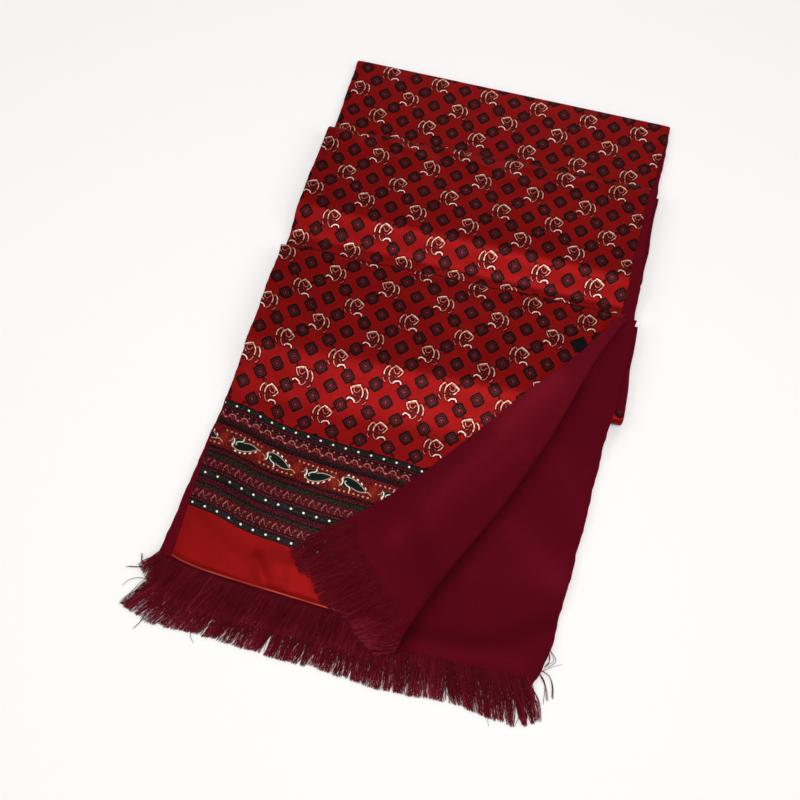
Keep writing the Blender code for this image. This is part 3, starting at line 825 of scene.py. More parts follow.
# %% [markdown]
# A paisley is a drop with a bent axis. Its half width falls from the head to the tip, and a round bite
# out of its upper side leaves the curl. Its bent height less the half width says how far out a point is.

# %% Paisleys
LEAF = 32.6                  # from one paisley to the next
LEAF_PHASE = -5.7
NUDGE = 2.4                  # by which the turned-over ones stand farther right, mm
leaf = op(tree, "MULTIPLY_ADD", op(tree, "SUBTRACT", u, LEAF_PHASE), 1 / LEAF, 0.5)
second = op(tree, "PINGPONG", op(tree, "FLOOR", leaf), 1.0)
leaf_x = op(tree, "MULTIPLY_ADD", second, -NUDGE, folded(tree, u, LEAF_PHASE, LEAF))
leaf_y = op(tree, "MULTIPLY", op(tree, "SUBTRACT", t, 31.2), op(tree, "MULTIPLY_ADD", second, -2.0, 1.0))
from_head = op(tree, "ADD", leaf_x, 6.0)
bent = op(tree, "SUBTRACT", leaf_y, op(tree, "MULTIPLY_ADD", op(tree, "POWER", from_head, 2.0), 0.012, -1.2))
left = op(tree, "POWER", op(tree, "DIVIDE", op(tree, "MAXIMUM", op(tree, "MULTIPLY", from_head, -1.0), 0.0),
                            5.0), 2.2)
right = op(tree, "POWER", op(tree, "DIVIDE", op(tree, "MAXIMUM", from_head, 0.0), 17.6), 2.0)
width = op(tree, "MULTIPLY_ADD", op(tree, "ADD", left, right), -4.7, 4.7)
out = op(tree, "SUBTRACT", op(tree, "ABSOLUTE", bent), width)
bite = op(tree, "SUBTRACT", 2.7, vec(tree, "DISTANCE", triple(tree, leaf_x, leaf_y), (1.0, 5.2, 0.0)))
out = op(tree, "MAXIMUM", out, bite)
in_band = inside(tree, t, 22.8, 39.2)
filled = op(tree, "MULTIPLY", op(tree, "MULTIPLY_ADD", out, -3.0, 0.5, clamp=True), in_band)
gilt = op(tree, "MULTIPLY", blob(tree, folded(tree, u, LEAF_PHASE + LEAF / 2, LEAF),
                                 op(tree, "SUBTRACT", leaf_y, 1.0), 3.2, 5.0, 1.0), in_band)
colour = over(tree, op(tree, "MULTIPLY", gilt, 0.4), colour, paint(150, 46, 18))
colour = over(tree, filled, colour, over(tree, op(tree, "MULTIPLY_ADD", weave, 4.0, -1.8, clamp=True),
                                         paint(10, 13, 14), paint(24, 38, 32)))
convex = op(tree, "MULTIPLY_ADD", bent, -0.8, 1.0, clamp=True)
rim = op(tree, "MULTIPLY_ADD", op(tree, "ABSOLUTE", op(tree, "ADD", out, 0.1)), -2.6, 1.25, clamp=True)
rim = op(tree, "MULTIPLY", rim, op(tree, "MULTIPLY_ADD", convex, 0.75, 0.10))
colour = over(tree, op(tree, "MULTIPLY", rim, in_band), colour, paint(196, 172, 140))
#                     x0    y0    x1    y1   bulge  width  tone
PAISLEY_STROKES = ((-10.3, -3.4, -10.2, 1.6, -0.8, 0.95, 1.00),
                   (-2.4, 4.8, -3.9, 1.6, 0.8, 0.90, 0.95),
                   (-3.9, 1.6, -7.5, -0.6, -0.4, 0.75, 0.85),
                   (-7.5, -0.6, -6.9, -2.3, -0.4, 0.70, 0.75),
                   (-1.4, 1.6, 10.8, 2.7, 1.2, 0.50, 0.50),
                   (-13.9, -1.4, -11.4, 3.2, -1.0, 0.50, 0.40),
                   (11.8, 2.0, 16.5, 4.6, -0.5, 0.60, 0.45))
curl, _ = draw(tree, triple(tree, leaf_x, leaf_y), PAISLEY_STROKES)
colour = over(tree, op(tree, "MULTIPLY", curl, in_band), colour, paint(222, 212, 190))
outwards = op(tree, "ABSOLUTE", op(tree, "SUBTRACT", out, 1.5))
onwards = op(tree, "ABSOLUTE", folded(tree, leaf_x, -2.2, 4.1))
bead = op(tree, "MULTIPLY", op(tree, "MULTIPLY_ADD", outwards, -2.2, 1.9, clamp=True),
          op(tree, "MULTIPLY_ADD", onwards, -2.2, 2.2, clamp=True))
bead = op(tree, "MULTIPLY", bead, op(tree, "MULTIPLY_ADD", bent, -0.7, -0.6, clamp=True))
colour = over(tree, op(tree, "MULTIPLY", bead, in_band), colour, PEARL)
edge_dots = blob(tree, folded(tree, leaf_x, 1.8, 4.0), op(tree, "SUBTRACT", leaf_y, 6.3), 0.85, 0.65)
edge_tone = op(tree, "MULTIPLY_ADD", weave, 2.2, -0.4, clamp=True)
colour = over(tree, op(tree, "MULTIPLY", op(tree, "MULTIPLY", edge_dots, edge_tone), in_band), colour,
              paint(214, 160, 136))
tree.links.new(colour, gives["Colour"])
tree.links.new(op(tree, "MULTIPLY", op(tree, "GREATER_THAN", t, 0.0), op(tree, "LESS_THAN", t, BORDER_END)),
               gives["Weight"])
print("border has", len(BORDER.nodes), "nodes")

# %% [markdown]
# ### Thread
# Both cloths are woven. Close to, the satin shows long floats along the scarf and the wool a short nap
# brushed one way. One group gives both: noise drawn out along the cloth, and a broader unevenness.

# %% Thread group
THREAD, takes, gives = group(
    "thread", [("Cloth", "Vector"), ("Across", "Float"), ("Along", "Float"), ("Patches", "Float")],
    [("Thread", "Float"), ("Patch", "Float")])
tree = THREAD
drawn = vec(tree, "MULTIPLY", takes["Cloth"], wire(tree, tree.nodes.new("ShaderNodeCombineXYZ"),
                                                   (takes["Across"], takes["Along"], 1.0)).outputs[0])
tree.links.new(noise(tree, drawn, 1.0, 3.0, 0.6), gives["Thread"])
tree.links.new(noise(tree, takes["Cloth"], takes["Patches"], 3.0, 0.55), gives["Patch"])
print("thread group has", len(THREAD.nodes), "nodes")


# %% [markdown]
# ### Satin, wool, yarn and label
# Dyed silk throws back light in its own colour, so the satin is partly metallic: its highlights are red
# on the ground and cream on the roses. Wool is rough with a soft sheen.

# %% Materials


def new_finish(name):
    """A material with a bare Principled shader."""
    finish = bpy.data.materials.new(name)
    finish.use_nodes = True
    return finish, finish.node_tree, finish.node_tree.nodes["Principled BSDF"]


def cloth_map(tree):
    """The piece's cloth coordinates, in metres."""
    node = tree.nodes.new("ShaderNodeUVMap")
    node.uv_map = "cloth"
    return node.outputs[0]


def own_value(tree, name):
    """A number that a piece carries at each of its points, and zero where it has none."""
    node = tree.nodes.new("ShaderNodeAttribute")
    node.attribute_name = name
    return node.outputs["Fac"]


def bump(tree, shader, height, strength, distance):
    """Lift a surface by a height."""
    node = fill(tree, tree.nodes.new("ShaderNodeBump"), Strength=strength, Distance=distance, Height=height)
    tree.links.new(node.outputs[0], shader.inputs["Normal"])


SATIN_RED = paint(134, 12, 9)
SATIN_DEEP = paint(112, 6, 8)
RINGS = ((0.0, paint(150, 64, 62)), (0.8, paint(112, 28, 36)), (1.3, paint(26, 3, 7)),
         (1.8, paint(28, 4, 8)), (2.2, paint(96, 28, 36)), (2.8, paint(84, 18, 30)), (3.2, paint(18, 6, 6)),
         (3.8, paint(20, 8, 7)), (4.2, paint(62, 34, 26)), (4.7, paint(52, 18, 20)), (5.2, paint(13, 2, 4)),
         (6.0, paint(13, 2, 4)))

satin, tree, shader = new_finish("printed satin")
cloth = cloth_map(tree)
across, along = apart(tree, vec(tree, "SCALE", cloth, None, None, 1000.0))
thread = use(tree, THREAD, Cloth=cloth, Across=2600.0, Along=260.0, Patches=34.0)
motifs = use(tree, MOTIFS, Across=across, Along=op(tree, "SUBTRACT", along, FIRST_ROSES * 1000))
ground = over(tree, thread["Patch"], SATIN_DEEP, SATIN_RED)
field = over(tree, motifs["Shade"], ground, paint(38, 1, 5))
wobble = noise(tree, cloth, 420.0, 2.0)
ring = op(tree, "ADD", motifs["Ring"], op(tree, "MULTIPLY_ADD", wobble, 1.9, -0.95))
rings = ramp(tree, op(tree, "DIVIDE", ring, 10.0), [(size / 10, shade) for size, shade in RINGS])
field = over(tree, op(tree, "MULTIPLY_ADD", ring, -1.5, 10.2, clamp=True), field, rings)
ink = op(tree, "MULTIPLY", motifs["Ink"], op(tree, "MULTIPLY_ADD", wobble, 1.6, 0.24))
ink_colour = ramp(tree, ink, ((0.0, paint(80, 6, 12)), (0.40, paint(142, 54, 48)),
                              (0.75, paint(188, 110, 90)), (1.0, paint(212, 152, 128))))
field = over(tree, op(tree, "MULTIPLY", ink, 1.7, clamp=True), field, ink_colour)
field = over(tree, op(tree, "MULTIPLY_ADD", ink, 5.0, -4.9, clamp=True), field, paint(228, 204, 194))
down = op(tree, "MULTIPLY", along, -1.0)
border = use(tree, BORDER, Across=across, Down=down)
coloured = over(tree, op(tree, "GREATER_THAN", down, 0.0), field, ground)
coloured = over(tree, border["Weight"], coloured, border["Colour"])
# painted highlight: a pale line along the hem's fold, from the piece's own values
coloured = over(tree, own_value(tree, "hem"), coloured, paint(224, 104, 78))
fill(tree, shader, Base_Color=coloured, Roughness=op(tree, "MULTIPLY_ADD", thread["Patch"], 0.12, 0.36),
     Metallic=0.62, Specular_IOR_Level=0.08)
floats = op(tree, "ADD", thread["Thread"], op(tree, "MULTIPLY", thread["Patch"], 3.0))
bump(tree, shader, floats, 0.35, 0.0003)

wool, tree, shader = new_finish("brushed wool")
cloth = cloth_map(tree)
thread = use(tree, THREAD, Cloth=cloth, Across=1500.0, Along=420.0, Patches=22.0)
nap_and_shade = over(tree, thread["Thread"], paint(64, 1, 11), paint(104, 6, 26))
nap_and_shade = over(tree, op(tree, "MULTIPLY", thread["Patch"], 0.5), nap_and_shade, paint(84, 4, 18))
# painted light and shade from the piece's own values: paler on ridges, darker in troughs and along the crest
brushed_and_shaded = own_value(tree, "nap_and_shade")
nap_and_shade = over(tree, op(tree, "MULTIPLY", brushed_and_shaded, 1.0, clamp=True), nap_and_shade, paint(134, 24, 42))
nap_and_shade = over(tree, op(tree, "MULTIPLY", brushed_and_shaded, -1.0, clamp=True), nap_and_shade, paint(46, 1, 8))
fill(tree, shader, Base_Color=nap_and_shade, Roughness=0.95, Specular_IOR_Level=0.06, Sheen_Weight=0.07,
     Sheen_Roughness=0.5, Sheen_Tint=paint(190, 50, 66))
bump(tree, shader, thread["Thread"], 0.8, 0.0006)

yarn, tree, shader = new_finish("fringe yarn")
# each thread's colour from its own value, which also carries painted light and shade
dyed = ramp(tree, own_value(tree, "shade"), ((0.0, paint(46, 0, 8)), (0.55, paint(98, 4, 22)),
                                             (1.0, paint(176, 52, 72))))
fill(tree, shader, Base_Color=dyed, Roughness=0.8, Specular_IOR_Level=0.10)

black, tree, shader = new_finish("black label")
cloth = cloth_map(tree)
RIB = 0.0006                 # pitch of the label's ribs
ribs = op(tree, "SINE", op(tree, "MULTIPLY", apart(tree, cloth)[1], 2 * math.pi / RIB))
ribbed = over(tree, op(tree, "MULTIPLY_ADD", ribs, 0.5, 0.5), paint(7, 5, 6), paint(18, 14, 16))
fill(tree, shader, Base_Color=ribbed, Roughness=0.7, Specular_IOR_Level=0.05)
bump(tree, shader, ribs, 0.3, 0.0001)
print("finishes:", ", ".join(m.name for m in (satin, wool, yarn, black)))

# %% [markdown]
# ## The runs
# Cloth could be draped by simulation, but these folds were laid by hand and lie still, so each panel is
# worked out on its plan. A silk wall and a wool wall share the height of the pile, its slopes and its
# relief. The satin is sewn down along its sides, so it dips towards the wool there and puckers a little.

# %% Panel edges
FAR_LEFT = ((-0.1380, 0.1500), (-0.1385, 0.2650))
FAR_SILK_RIGHT = ((0.1540, 0.1800), (0.1590, 0.2747))
FAR_WOOL_RIGHT = ((0.1615, 0.1800), (0.1595, 0.2747))
MID_SILK_LEFT = ((-0.1445, 0.0400), (-0.1430, 0.1200), (-0.1400, 0.1820))
MID_WOOL_LEFT = ((-0.1450, 0.0400), (-0.1430, 0.1200), (-0.1410, 0.1820))
MID_SILK_RIGHT = ((0.1545, 0.0500), (0.1540, 0.0850), (0.1518, 0.1210), (0.1522, 0.1560), (0.1520, 0.2000))
MID_WOOL_RIGHT = ((0.1665, 0.0500), (0.1650, 0.0900), (0.1605, 0.1200), (0.1592, 0.1550), (0.1585, 0.2000))
NEAR_SILK_LEFT = ((-0.1463, -0.2265), (-0.1485, -0.1280), (-0.1455, -0.0400), (-0.1450, 0.0585))
NEAR_WOOL_LEFT = ((-0.1580, -0.2340), (-0.1520, -0.1400), (-0.1460, -0.0400), (-0.1450, 0.0585))
LOW_LEFT = ((-0.1560, -0.2450), (-0.1490, -0.1400), (-0.1430, -0.0400), (-0.1430, 0.0585))
LOW_RIGHT = ((0.1510, -0.2400), (0.1560, -0.2270), (0.1592, -0.2100), (0.1600, -0.1900), (0.1618, -0.1500),
             (0.1635, -0.0900), (0.1640, -0.0300), (0.1665, 0.0745))
SILK_HEM = -0.2275           # y of the satin's hem at the turned corner
WOOL_END = -0.2343           # and of the wool's end there
SAG = 0.0070                 # by which the lower ply's end bows out
STEP = 0.0023                # spacing of a panel's grid
DIP = 0.00035                # by which the satin dips at its sewn sides
SEWN = 0.0045                # reach of that dip
PUCKER = 0.0090              # from one pucker to the next along a sewn side
PUCKERED = (0.00014, 0.007)  # height of the puckers at the side, and their reach inwards
THIRD_SWAY = (0.0024, 0.090, 67)             # both plies stray alike at the third fold
SILK_CLOTH = (SATIN / 2, satin, "satin")     # half thickness, finish and slot of the satin
WOOL_CLOTH = (WOOL / 2, wool, "wool")        # and of the wool


def frayed(line, reach, seed):
    """An edge line that strays a little to either side: two slow drifts of its own."""
    line = line.copy()
    line[:, 0] += wander(line[:, 1], reach, 0.047, seed) + wander(line[:, 1], reach * 0.5, 0.013, seed + 1)
    return line


def plan_of(left, right, step=STEP):
    """Plan grid between two dense edge lines, its fullness and its distances to the sides, in metres."""
    length = length_of(left)
    width = float(np.linalg.norm(right[len(right) // 2] - left[len(left) // 2]))
    down = rimmed(max(int(length / step), 6), length, last=False)
    across = rimmed(max(int(width / step), 6), width)
    plan = spread(resample(left, down), resample(right, down), across)
    full = fullness(down, length, last=False)[:, None] * fullness(across, width)[None, :]
    wide = np.linalg.norm(plan[:, -1] - plan[:, 0], axis=-1)[:, None]
    sides = np.minimum(across[None, :], 1 - across[None, :]) * wide
    return plan, full, sides


def middle_of(plan, sides, cloth, seed):
    """Offset of a panel's middle: level for wool; the satin's dips at the sides and puckers there."""
    if cloth is WOOL_CLOTH:
        return np.full(plan.shape[:2], WOOL_MIDDLE)
    height, inwards = PUCKERED
    beat = np.sin(2 * math.pi * plan[..., 1] / PUCKER + wander(plan[..., 1], 3.0, 0.06, seed))
    pucker = height * beat * np.exp(-(sides / inwards) ** 2)
    return SILK_MIDDLE - DIP * np.exp(-(sides / SEWN) ** 2) + pucker


def faces_of(plan, z, middle, half, full):
    """Both faces of a panel at middle -/+ half * fullness, down round the fold at its far row."""
    faces = []
    for side in (-1, 1):
        offset = middle + side * half * full
        faces.append(with_turn(raised(plan, z + offset), way_of(plan), TURN + offset[-1]))
    return faces


print("grid step", STEP * 1000, "mm")

# %% [markdown]
# ### Far run
# The far run lies on the surface. Its two plies are one ply doubled, so each panel runs out on top, turns
# through the doubling fold and comes back below.

# %% Far run


def far_relief(x, y):
    """Relief of the far run, level where it goes under the second fold and at the doubling fold."""
    calm = smooth((line_y("doubling", x) - y) / 0.02) * smooth((y - line_y("second", x) + 0.004) / 0.02)
    return lie(x, y, 21) * 0.8 * calm


def far_panel(name, left, right, cloth):
    """One panel of the far run: out over the relief, round the doubling fold, and back on the surface."""
    half, finish, slot = cloth
    plan, full, sides = plan_of(left, right)
    middle = middle_of(plan, sides, cloth, 31)
    z = FIRST + far_relief(plan[..., 0], plan[..., 1])
    back = np.unique(np.concatenate([np.arange(7), np.arange(7, len(plan) - 1, 3)]))[::-1]
    faces = []
    for side in (-1, 1):
        offset = middle + side * half * full
        out = with_turn(raised(plan, z + offset), way_of(plan), offset[-1])
        faces.append(np.concatenate([out, raised(plan, FIRST - offset)[back]], axis=0))
    return walls(name, [(*faces, print_round("far", plan, faces[1]))], finish)


def far_edge(points, reach, seed):
    """A frayed edge of the far run, from under the second fold to the doubling fold's axis."""
    edge = until(points, "doubling", -HALF, lambda x: line_y("second", x) - OUTER + GAP)
    return frayed(edge, reach, seed)


far_silk = far_panel("far_silk", far_edge(FAR_LEFT, 0.0004, 41), far_edge(FAR_SILK_RIGHT, 0.0004, 42),
                     SILK_CLOTH)
far_wool = far_panel("far_wool", far_edge(FAR_LEFT, 0.0004, 43), far_edge(FAR_WOOL_RIGHT, 0.0006, 44),
                     WOOL_CLOTH)
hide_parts("far_run_silk")
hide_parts("far_run_wool")

# %% [markdown]
# ### Mid run
# The mid run rises from the surface over two hidden layers, which gives the long soft slope that catches
# the light, and then turns down at the second fold.

# %% Mid run


def mid_panel(name, left, right, cloth):
    """One panel of the mid run, from below the third fold up its slope and down round the second fold."""
    half, finish, slot = cloth
    ends = [until(points, "second", -OUTER, lambda x: line_y("third", x) - OUTER) for points in (left, right)]
    plan, full, sides = plan_of(frayed(ends[0], 0.0004, 51), frayed(ends[1], 0.0005, 53))
    swayed(plan, "second", 0.0030, 0.060, 57)
    middle = middle_of(plan, sides, cloth, 55)
    x, y = plan[..., 0], plan[..., 1]
    under, upper = faces_of(plan, mid_height(x, y) + mid_relief(x, y), middle, half, full)
    return walls(name, [(under, upper, print_round("mid", plan, upper))], finish)


mid_silk = mid_panel("mid_silk", MID_SILK_LEFT, MID_SILK_RIGHT, SILK_CLOTH)
mid_wool = mid_panel("mid_wool", MID_WOOL_LEFT, MID_WOOL_RIGHT, WOOL_CLOTH)
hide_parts("mid_run_silk")
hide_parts("mid_run_wool")

# %% [markdown]
# ### Near run and its turned corner
# The top ply of the near run ends in the border and the fringe. Its right corner is turned over along a
# slanting crest. The ply runs up to the middle of that roll, goes half way round it and comes back, wool
# outward, to its selvage. The roll is fuller at the fringe end and flattens into the third fold.

# %% Lines of the turned corner
#          crest x   crest y   selvage x  selvage y
CORNER = ((0.0450, -0.2360, -0.0300, -0.1660),
          (0.0645, -0.1820, 0.0020, -0.1330),
          (0.0988, -0.1060, 0.0340, -0.0940),
          (0.1210, -0.0430, 0.0650, -0.0520),
          (0.1330, 0.0020, 0.0980, -0.0080),
          (0.1430, 0.0350, 0.1230, 0.0240),
          (0.1575, 0.0700, 0.1490, 0.0695))
ROLL_WIDE = 0.0031           # radius of the roll between silk and wool, at the fringe end
ROLL_FLAT = 0.0016           # and at the third fold

corner = curve(CORNER, np.linspace(0.0, 1.0, 500))
corner = corner[corner[:, 1] <= line_y("third", corner[:, 0]) - OUTER]
ahead = np.gradient(corner[:, :2], axis=0)
ahead /= np.linalg.norm(ahead, axis=1, keepdims=True)
rightward = np.stack([ahead[:, 1], -ahead[:, 0]], axis=1)
to_fold = np.linspace(0.0, 1.0, len(corner))
roll = ROLL_WIDE + (ROLL_FLAT - ROLL_WIDE) * smooth((to_fold - 0.55) / 0.45)
roll *= 1 + 0.10 * np.sin(2 * math.pi * to_fold * 2.3 + 0.8) * smooth((0.9 - to_fold) / 0.3)
axis = corner[:, :2] - rightward * (roll + TOP_WOOL[1] - GAP / 2)[:, None]
corner = np.concatenate([axis, corner[:, 2:], rightward, roll[:, None]], axis=1)
print("the crest is", round(length_of(axis), 3), "m long")

# %% Near run
HEM_ROLL = 0.0007            # height of the satin's turned-in hem
HEM_RISE = 0.0048            # by which the hem is drawn up at its left corner
HEM_GLINT = 0.85             # strength of the highlight painted along the hem's fold, from 0 to 1


def near_panel(name, left, hem, cloth):
    """The top ply from its hem to the roll's middle line on its right, and down round the third fold."""
    half, finish, slot = cloth
    side = until(left, "third", -OUTER)
    edge = axis - rightward * GAP
    edge = edge[edge[:, 1] >= hem]
    edge[0, 1] = hem
    plan, full, sides = plan_of(frayed(side, 0.0005, 61), edge)
    swayed(plan, "third", *THIRD_SWAY)
    middle = middle_of(plan, sides, cloth, 65)
    from_hem = plan[..., 1] - plan[:1, :, 1]
    if cloth is SILK_CLOTH:
        middle = middle + HEM_ROLL * np.exp(-((from_hem - 0.0010) / 0.0011) ** 2)
        plan[..., 1] += (HEM_RISE * np.exp(-(plan[..., 0] - side[0, 0]) / 0.014)
                         * (1 - smooth(from_hem / 0.05)))
    x, y = plan[..., 0], plan[..., 1]
    under, upper = faces_of(plan, near_height(x, y) + near_relief(x, y), middle, half, full)
    piece = walls(name, [(under, upper, print_round("near", plan, upper))], finish)
    if cloth is SILK_CLOTH:
        # painted highlight along the hem's fold, stronger in some places along it than in others
        lit = np.zeros(upper.shape[:2])
        wear_and_glint = 0.70 + 0.30 * wander(x, 1.0, 0.048, 68)
        lit[:len(plan)] = HEM_GLINT * wear_and_glint * np.exp(-((from_hem - 0.0004) / 0.0005) ** 2)
        give_value(piece, "hem", lit)
    return piece


near_silk = near_panel("near_silk", NEAR_SILK_LEFT, SILK_HEM, SILK_CLOTH)
near_wool = near_panel("near_wool", NEAR_WOOL_LEFT, WOOL_END, WOOL_CLOTH)
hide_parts("near_run_silk")
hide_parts("near_run_wool")

# %% Lower ply
RELIEF_SHADE = 180.0                  # painted light and shade on the wool: paler on ridges and darker in troughs, by this a metre of height
CORNER_LIGHT = 0.24            # and painted light, paler towards the third fold on the turned corner
SHADE_LEVEL = 0.13             # by which both are darker all over
# painted shadow on the lower ply's wool along the crest of the turned corner; the last number is how much
CREST_SHADE = ((0.0450, -0.2360, 0.0630, -0.1860, 0.0075, 0.50),
               (0.0670, -0.1757, 0.0975, -0.1085, 0.0075, 0.50),
               (0.1015, -0.0980, 0.1330, 0.0020, 0.0065, 0.42))


def low_panel(name, middle, cloth, step):
    """The lower ply, with its end bowed out: y less sag * sin(pi * share across), fading from the end."""
    half, finish, slot = cloth
    left =frayed(until(LOW_LEFT, "third", -OUTER), 0.0005, 71)
    right = frayed(until(LOW_RIGHT, "third", -OUTER), 0.0006, 73)
    plan, full, _ = plan_of(left, right, step=step)
    swayed(plan, "third", *THIRD_SWAY)
    bow = np.sin(np.linspace(0.0, math.pi, plan.shape[1]))[None, :]
    plan[..., 1] -= SAG * bow * (1 - smooth((plan[..., 1] - LOW_END) / 0.06))
    x, y = plan[..., 0], plan[..., 1]
    middle = np.full(plan.shape[:2], middle)
    under, upper = faces_of(plan, near_height(x, y) + low_relief(x, y), middle, half, full)
    piece = walls(name, [(under, upper, print_round("near", plan, upper))], finish)
    x, y = upper[..., 0], upper[..., 1]
    # painted light and shade on the lower ply: paler on ridges, darker in troughs, with a painted shadow along the
    # crest
    give_value(piece, "nap_and_shade", RELIEF_SHADE * creases(LOW_CREASES, x, y) - SHADE_LEVEL - creases(CREST_SHADE, x, y))
    return piece


low_wool = low_panel("low_wool", -WOOL_MIDDLE, WOOL_CLOTH, STEP)
low_silk = low_panel("low_silk", -SILK_MIDDLE, SILK_CLOTH, 2 * STEP)
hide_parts("lower_ply_wool")
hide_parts("lower_ply_silk")

# %% Turned corner
START = (TOP_WOOL[1] + TOP_SILK[0]) / 2      # between wool and silk of the top ply
REST = TOP_SILK[1] + 0.0013 + SILK + GAP / 2  # the same level where the corner lies on the silk
SETTLE = 0.45                # share of the width over which it comes down from the roll
TUCK = 0.0006                # by which its selvage sinks to the satin
ROLL_STEPS = 17              # columns of its grid round the roll
CORNER_WIDE = 0.06           # width for which the columns beyond the roll are spaced


def corner_panel(name, offset, trim, cloth):
    """Half a turn round the roll, radius roll + offset, then on to the selvage, eased down to its rest."""
    half, finish, slot = cloth
    length = length_of(axis)
    down = rimmed(int(length * (1 - trim) / STEP), length * (1 - trim))
    lines = resample(corner, trim + (1 - trim) * down)
    middle_line, selvage, right = lines[:, 0:2], lines[:, 2:4], lines[:, 4:6]
    radius = lines[:, 6]
    across = rimmed(40, CORNER_WIDE, first=False)[1:]
    full = fullness(down, length)[:, None]
    faces = []
    for side in (-1, 1):
        angle = np.linspace(0.0, math.pi, ROLL_STEPS)[None, :]
        reach = radius[:, None] + offset + side * half * full
        plan = middle_line[:, None] + right[:, None] * (np.sin(angle) * reach)[..., None]
        z = START + radius[:, None] - np.cos(angle) * reach
        flat = spread(middle_line, selvage, across)
        rest = START + 2 * radius[:, None] + (REST - START - 2 * radius[:, None]) * smooth(across / SETTLE)
        rest = rest - TUCK * smooth((across - 0.75) / 0.25)
        thick = full * fullness(across, CORNER_WIDE, first=False)[None, :]
        plan = np.concatenate([plan, flat], axis=1)
        z = np.concatenate([z, rest + offset + side * half * thick], axis=1)
        x, y = plan[..., 0], plan[..., 1]
        ease = np.concatenate([np.full(ROLL_STEPS, 0.35), 0.35 + 0.65 * smooth(across / 0.3)])[None, :]
        lift = np.maximum(creases(CORNER_CREASES, x, y), -0.0008) * ease
        z = z + near_height(x, y) + near_relief(x, y) + lift
        faces.append(raised(plan, z)[:, ::-1])
    pattern = np.stack([-girth(faces[1].transpose(1, 0, 2)).T, faces[1][..., 1] * 0.9], axis=-1)
    piece = walls(name, [(*faces, pattern)], finish)
    x, y = faces[1][..., 0], faces[1][..., 1]
    # painted light and shade on the turned corner: paler on ridges and towards the third fold, darker in troughs
    brushed_and_shaded = RELIEF_SHADE * creases(CORNER_CREASES, x, y) - SHADE_LEVEL + CORNER_LIGHT * smooth((y + 0.130) / 0.120)
    give_value(piece, "nap_and_shade", brushed_and_shaded)
    return piece, faces


corner_wool, corner_faces = corner_panel("corner_wool", WOOL_MIDDLE, 0.0, WOOL_CLOTH)
corner_silk, _ = corner_panel("corner_silk", -GAP / 2 - SILK / 2, 0.02, SILK_CLOTH)
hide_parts("turned_corner_wool")
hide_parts("turned_corner_silk")

# %% [markdown]
# ### Hidden layers
# Below the near run and below the mid run the doubled cloth goes to and fro once more. Only its edges show,
# at the sides of the pile, so the four sheets of each fold are plain bent strips with edges of their own.

# %% Hidden layers
HIDDEN_LEFT = ((-0.1410, -0.0440), (-0.1420, 0.0585), (-0.1410, 0.1000), (-0.1400, 0.1820))
HIDDEN_RIGHT = ((0.1745, -0.0190), (0.1685, 0.0745), (0.1640, 0.1200), (0.1620, 0.2000))
HIDDEN_WIDE = 0.3            # width for which their columns are spaced
HIDDEN_PRINT = (0.0225, 0.007)               # shift of their print, across and along


def hidden_sheet(nose, back, offset, half, stray, seed):
    """A sheet round a hidden fold: back to the nose above, half a turn of radius TURN + offset, and out."""
    across = rimmed(26, HIDDEN_WIDE)
    left, right = (np.array(points).T for points in (HIDDEN_LEFT, HIDDEN_RIGHT))
    along = np.linspace(0.0, 1.0, 34)
    angle = np.linspace(0.0, math.pi, 15)[1:-1]
    shares = np.concatenate([1 - along, np.zeros(len(angle)), along])
    turned = np.concatenate([np.zeros(len(along)), angle, np.full(len(along), math.pi)])
    full = fullness(across, HIDDEN_WIDE)[None, :] * np.ones((len(shares), 1))
    faces = []
    for side in (-1, 1):
        reach = TURN + offset + side * half * full
        x = np.broadcast_to(np.linspace(-0.14, 0.165, across.size)[None, :], full.shape)
        for _ in range(3):
            head, tail = line_y(nose, x) + OUTER, line_y(back, x) - OUTER - GAP
            y = head + (tail - head) * shares[:, None] - np.sin(turned)[:, None] * reach
            low = np.interp(y, left[1], left[0]) + stray[0] + wander(y, 0.0008, 0.07, seed)
            high = np.interp(y, right[1], right[0]) + stray[1] + wander(y, 0.0008, 0.07, seed + 1)
            high = high + stray[2] * smooth((y - head - 0.003) / 0.007)
            x = low + (high - low) * across[None, :]
        z = FIRST + TURN + np.cos(turned)[:, None] * reach
        faces.append(np.stack([x, y, z], axis=-1))
    pattern = np.stack([faces[1][..., 0] + HIDDEN_PRINT[0], girth(faces[1]) + HIDDEN_PRINT[1]], axis=-1)
    return (*[face[::-1] for face in faces], pattern[::-1])


# each sheet strays from the pile's edges: left, right, and right again behind the nose, from outside in
HIDDEN_FOLDS = (("under", "third", ((0.0004, -0.0010, -0.0110), (-0.0004, 0.0, 0.0),
                                    (0.0006, -0.0014, -0.0012), (0.0012, -0.0030, -0.0040))),
                ("inner", "second", ((0.0010, -0.0050, -0.0020), (0.0002, 0.0, 0.0),
                                     (-0.0004, -0.0010, -0.0010), (0.0014, -0.0056, 0.0))))
silks, wools = [], []
LAYERS = ((SILK_MIDDLE, SATIN / 2, silks), (WOOL_MIDDLE, WOOL / 2, wools),
          (-WOOL_MIDDLE, WOOL / 2, wools), (-SILK_MIDDLE, SATIN / 2, silks))
for place, (nose, back, strays) in enumerate(HIDDEN_FOLDS):
    for layer, (offset, half, kept) in enumerate(LAYERS):
        kept.append(hidden_sheet(nose, back, offset, half, strays[layer], 80 + 8 * place + 2 * layer))
hidden_silk = walls("hidden_silk", silks, satin)
hidden_wool = walls("hidden_wool", wools, wool)
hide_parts("hidden_layers")
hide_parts("hidden_layers")
print("hidden sheets:", len(silks), "of silk and", len(wools), "of wool")

# %% [markdown]
# ## Fringes
# The fringe is the wool's own warp: the weft is drawn out and the threads are left, brushed and lightly
# clumped. Each thread is a thin four-sided tube along a curve from the wool's end to its tip. Threads
# gather in locks that draw together at the tips, and their lengths and colours vary.

# %% Threads as tubes


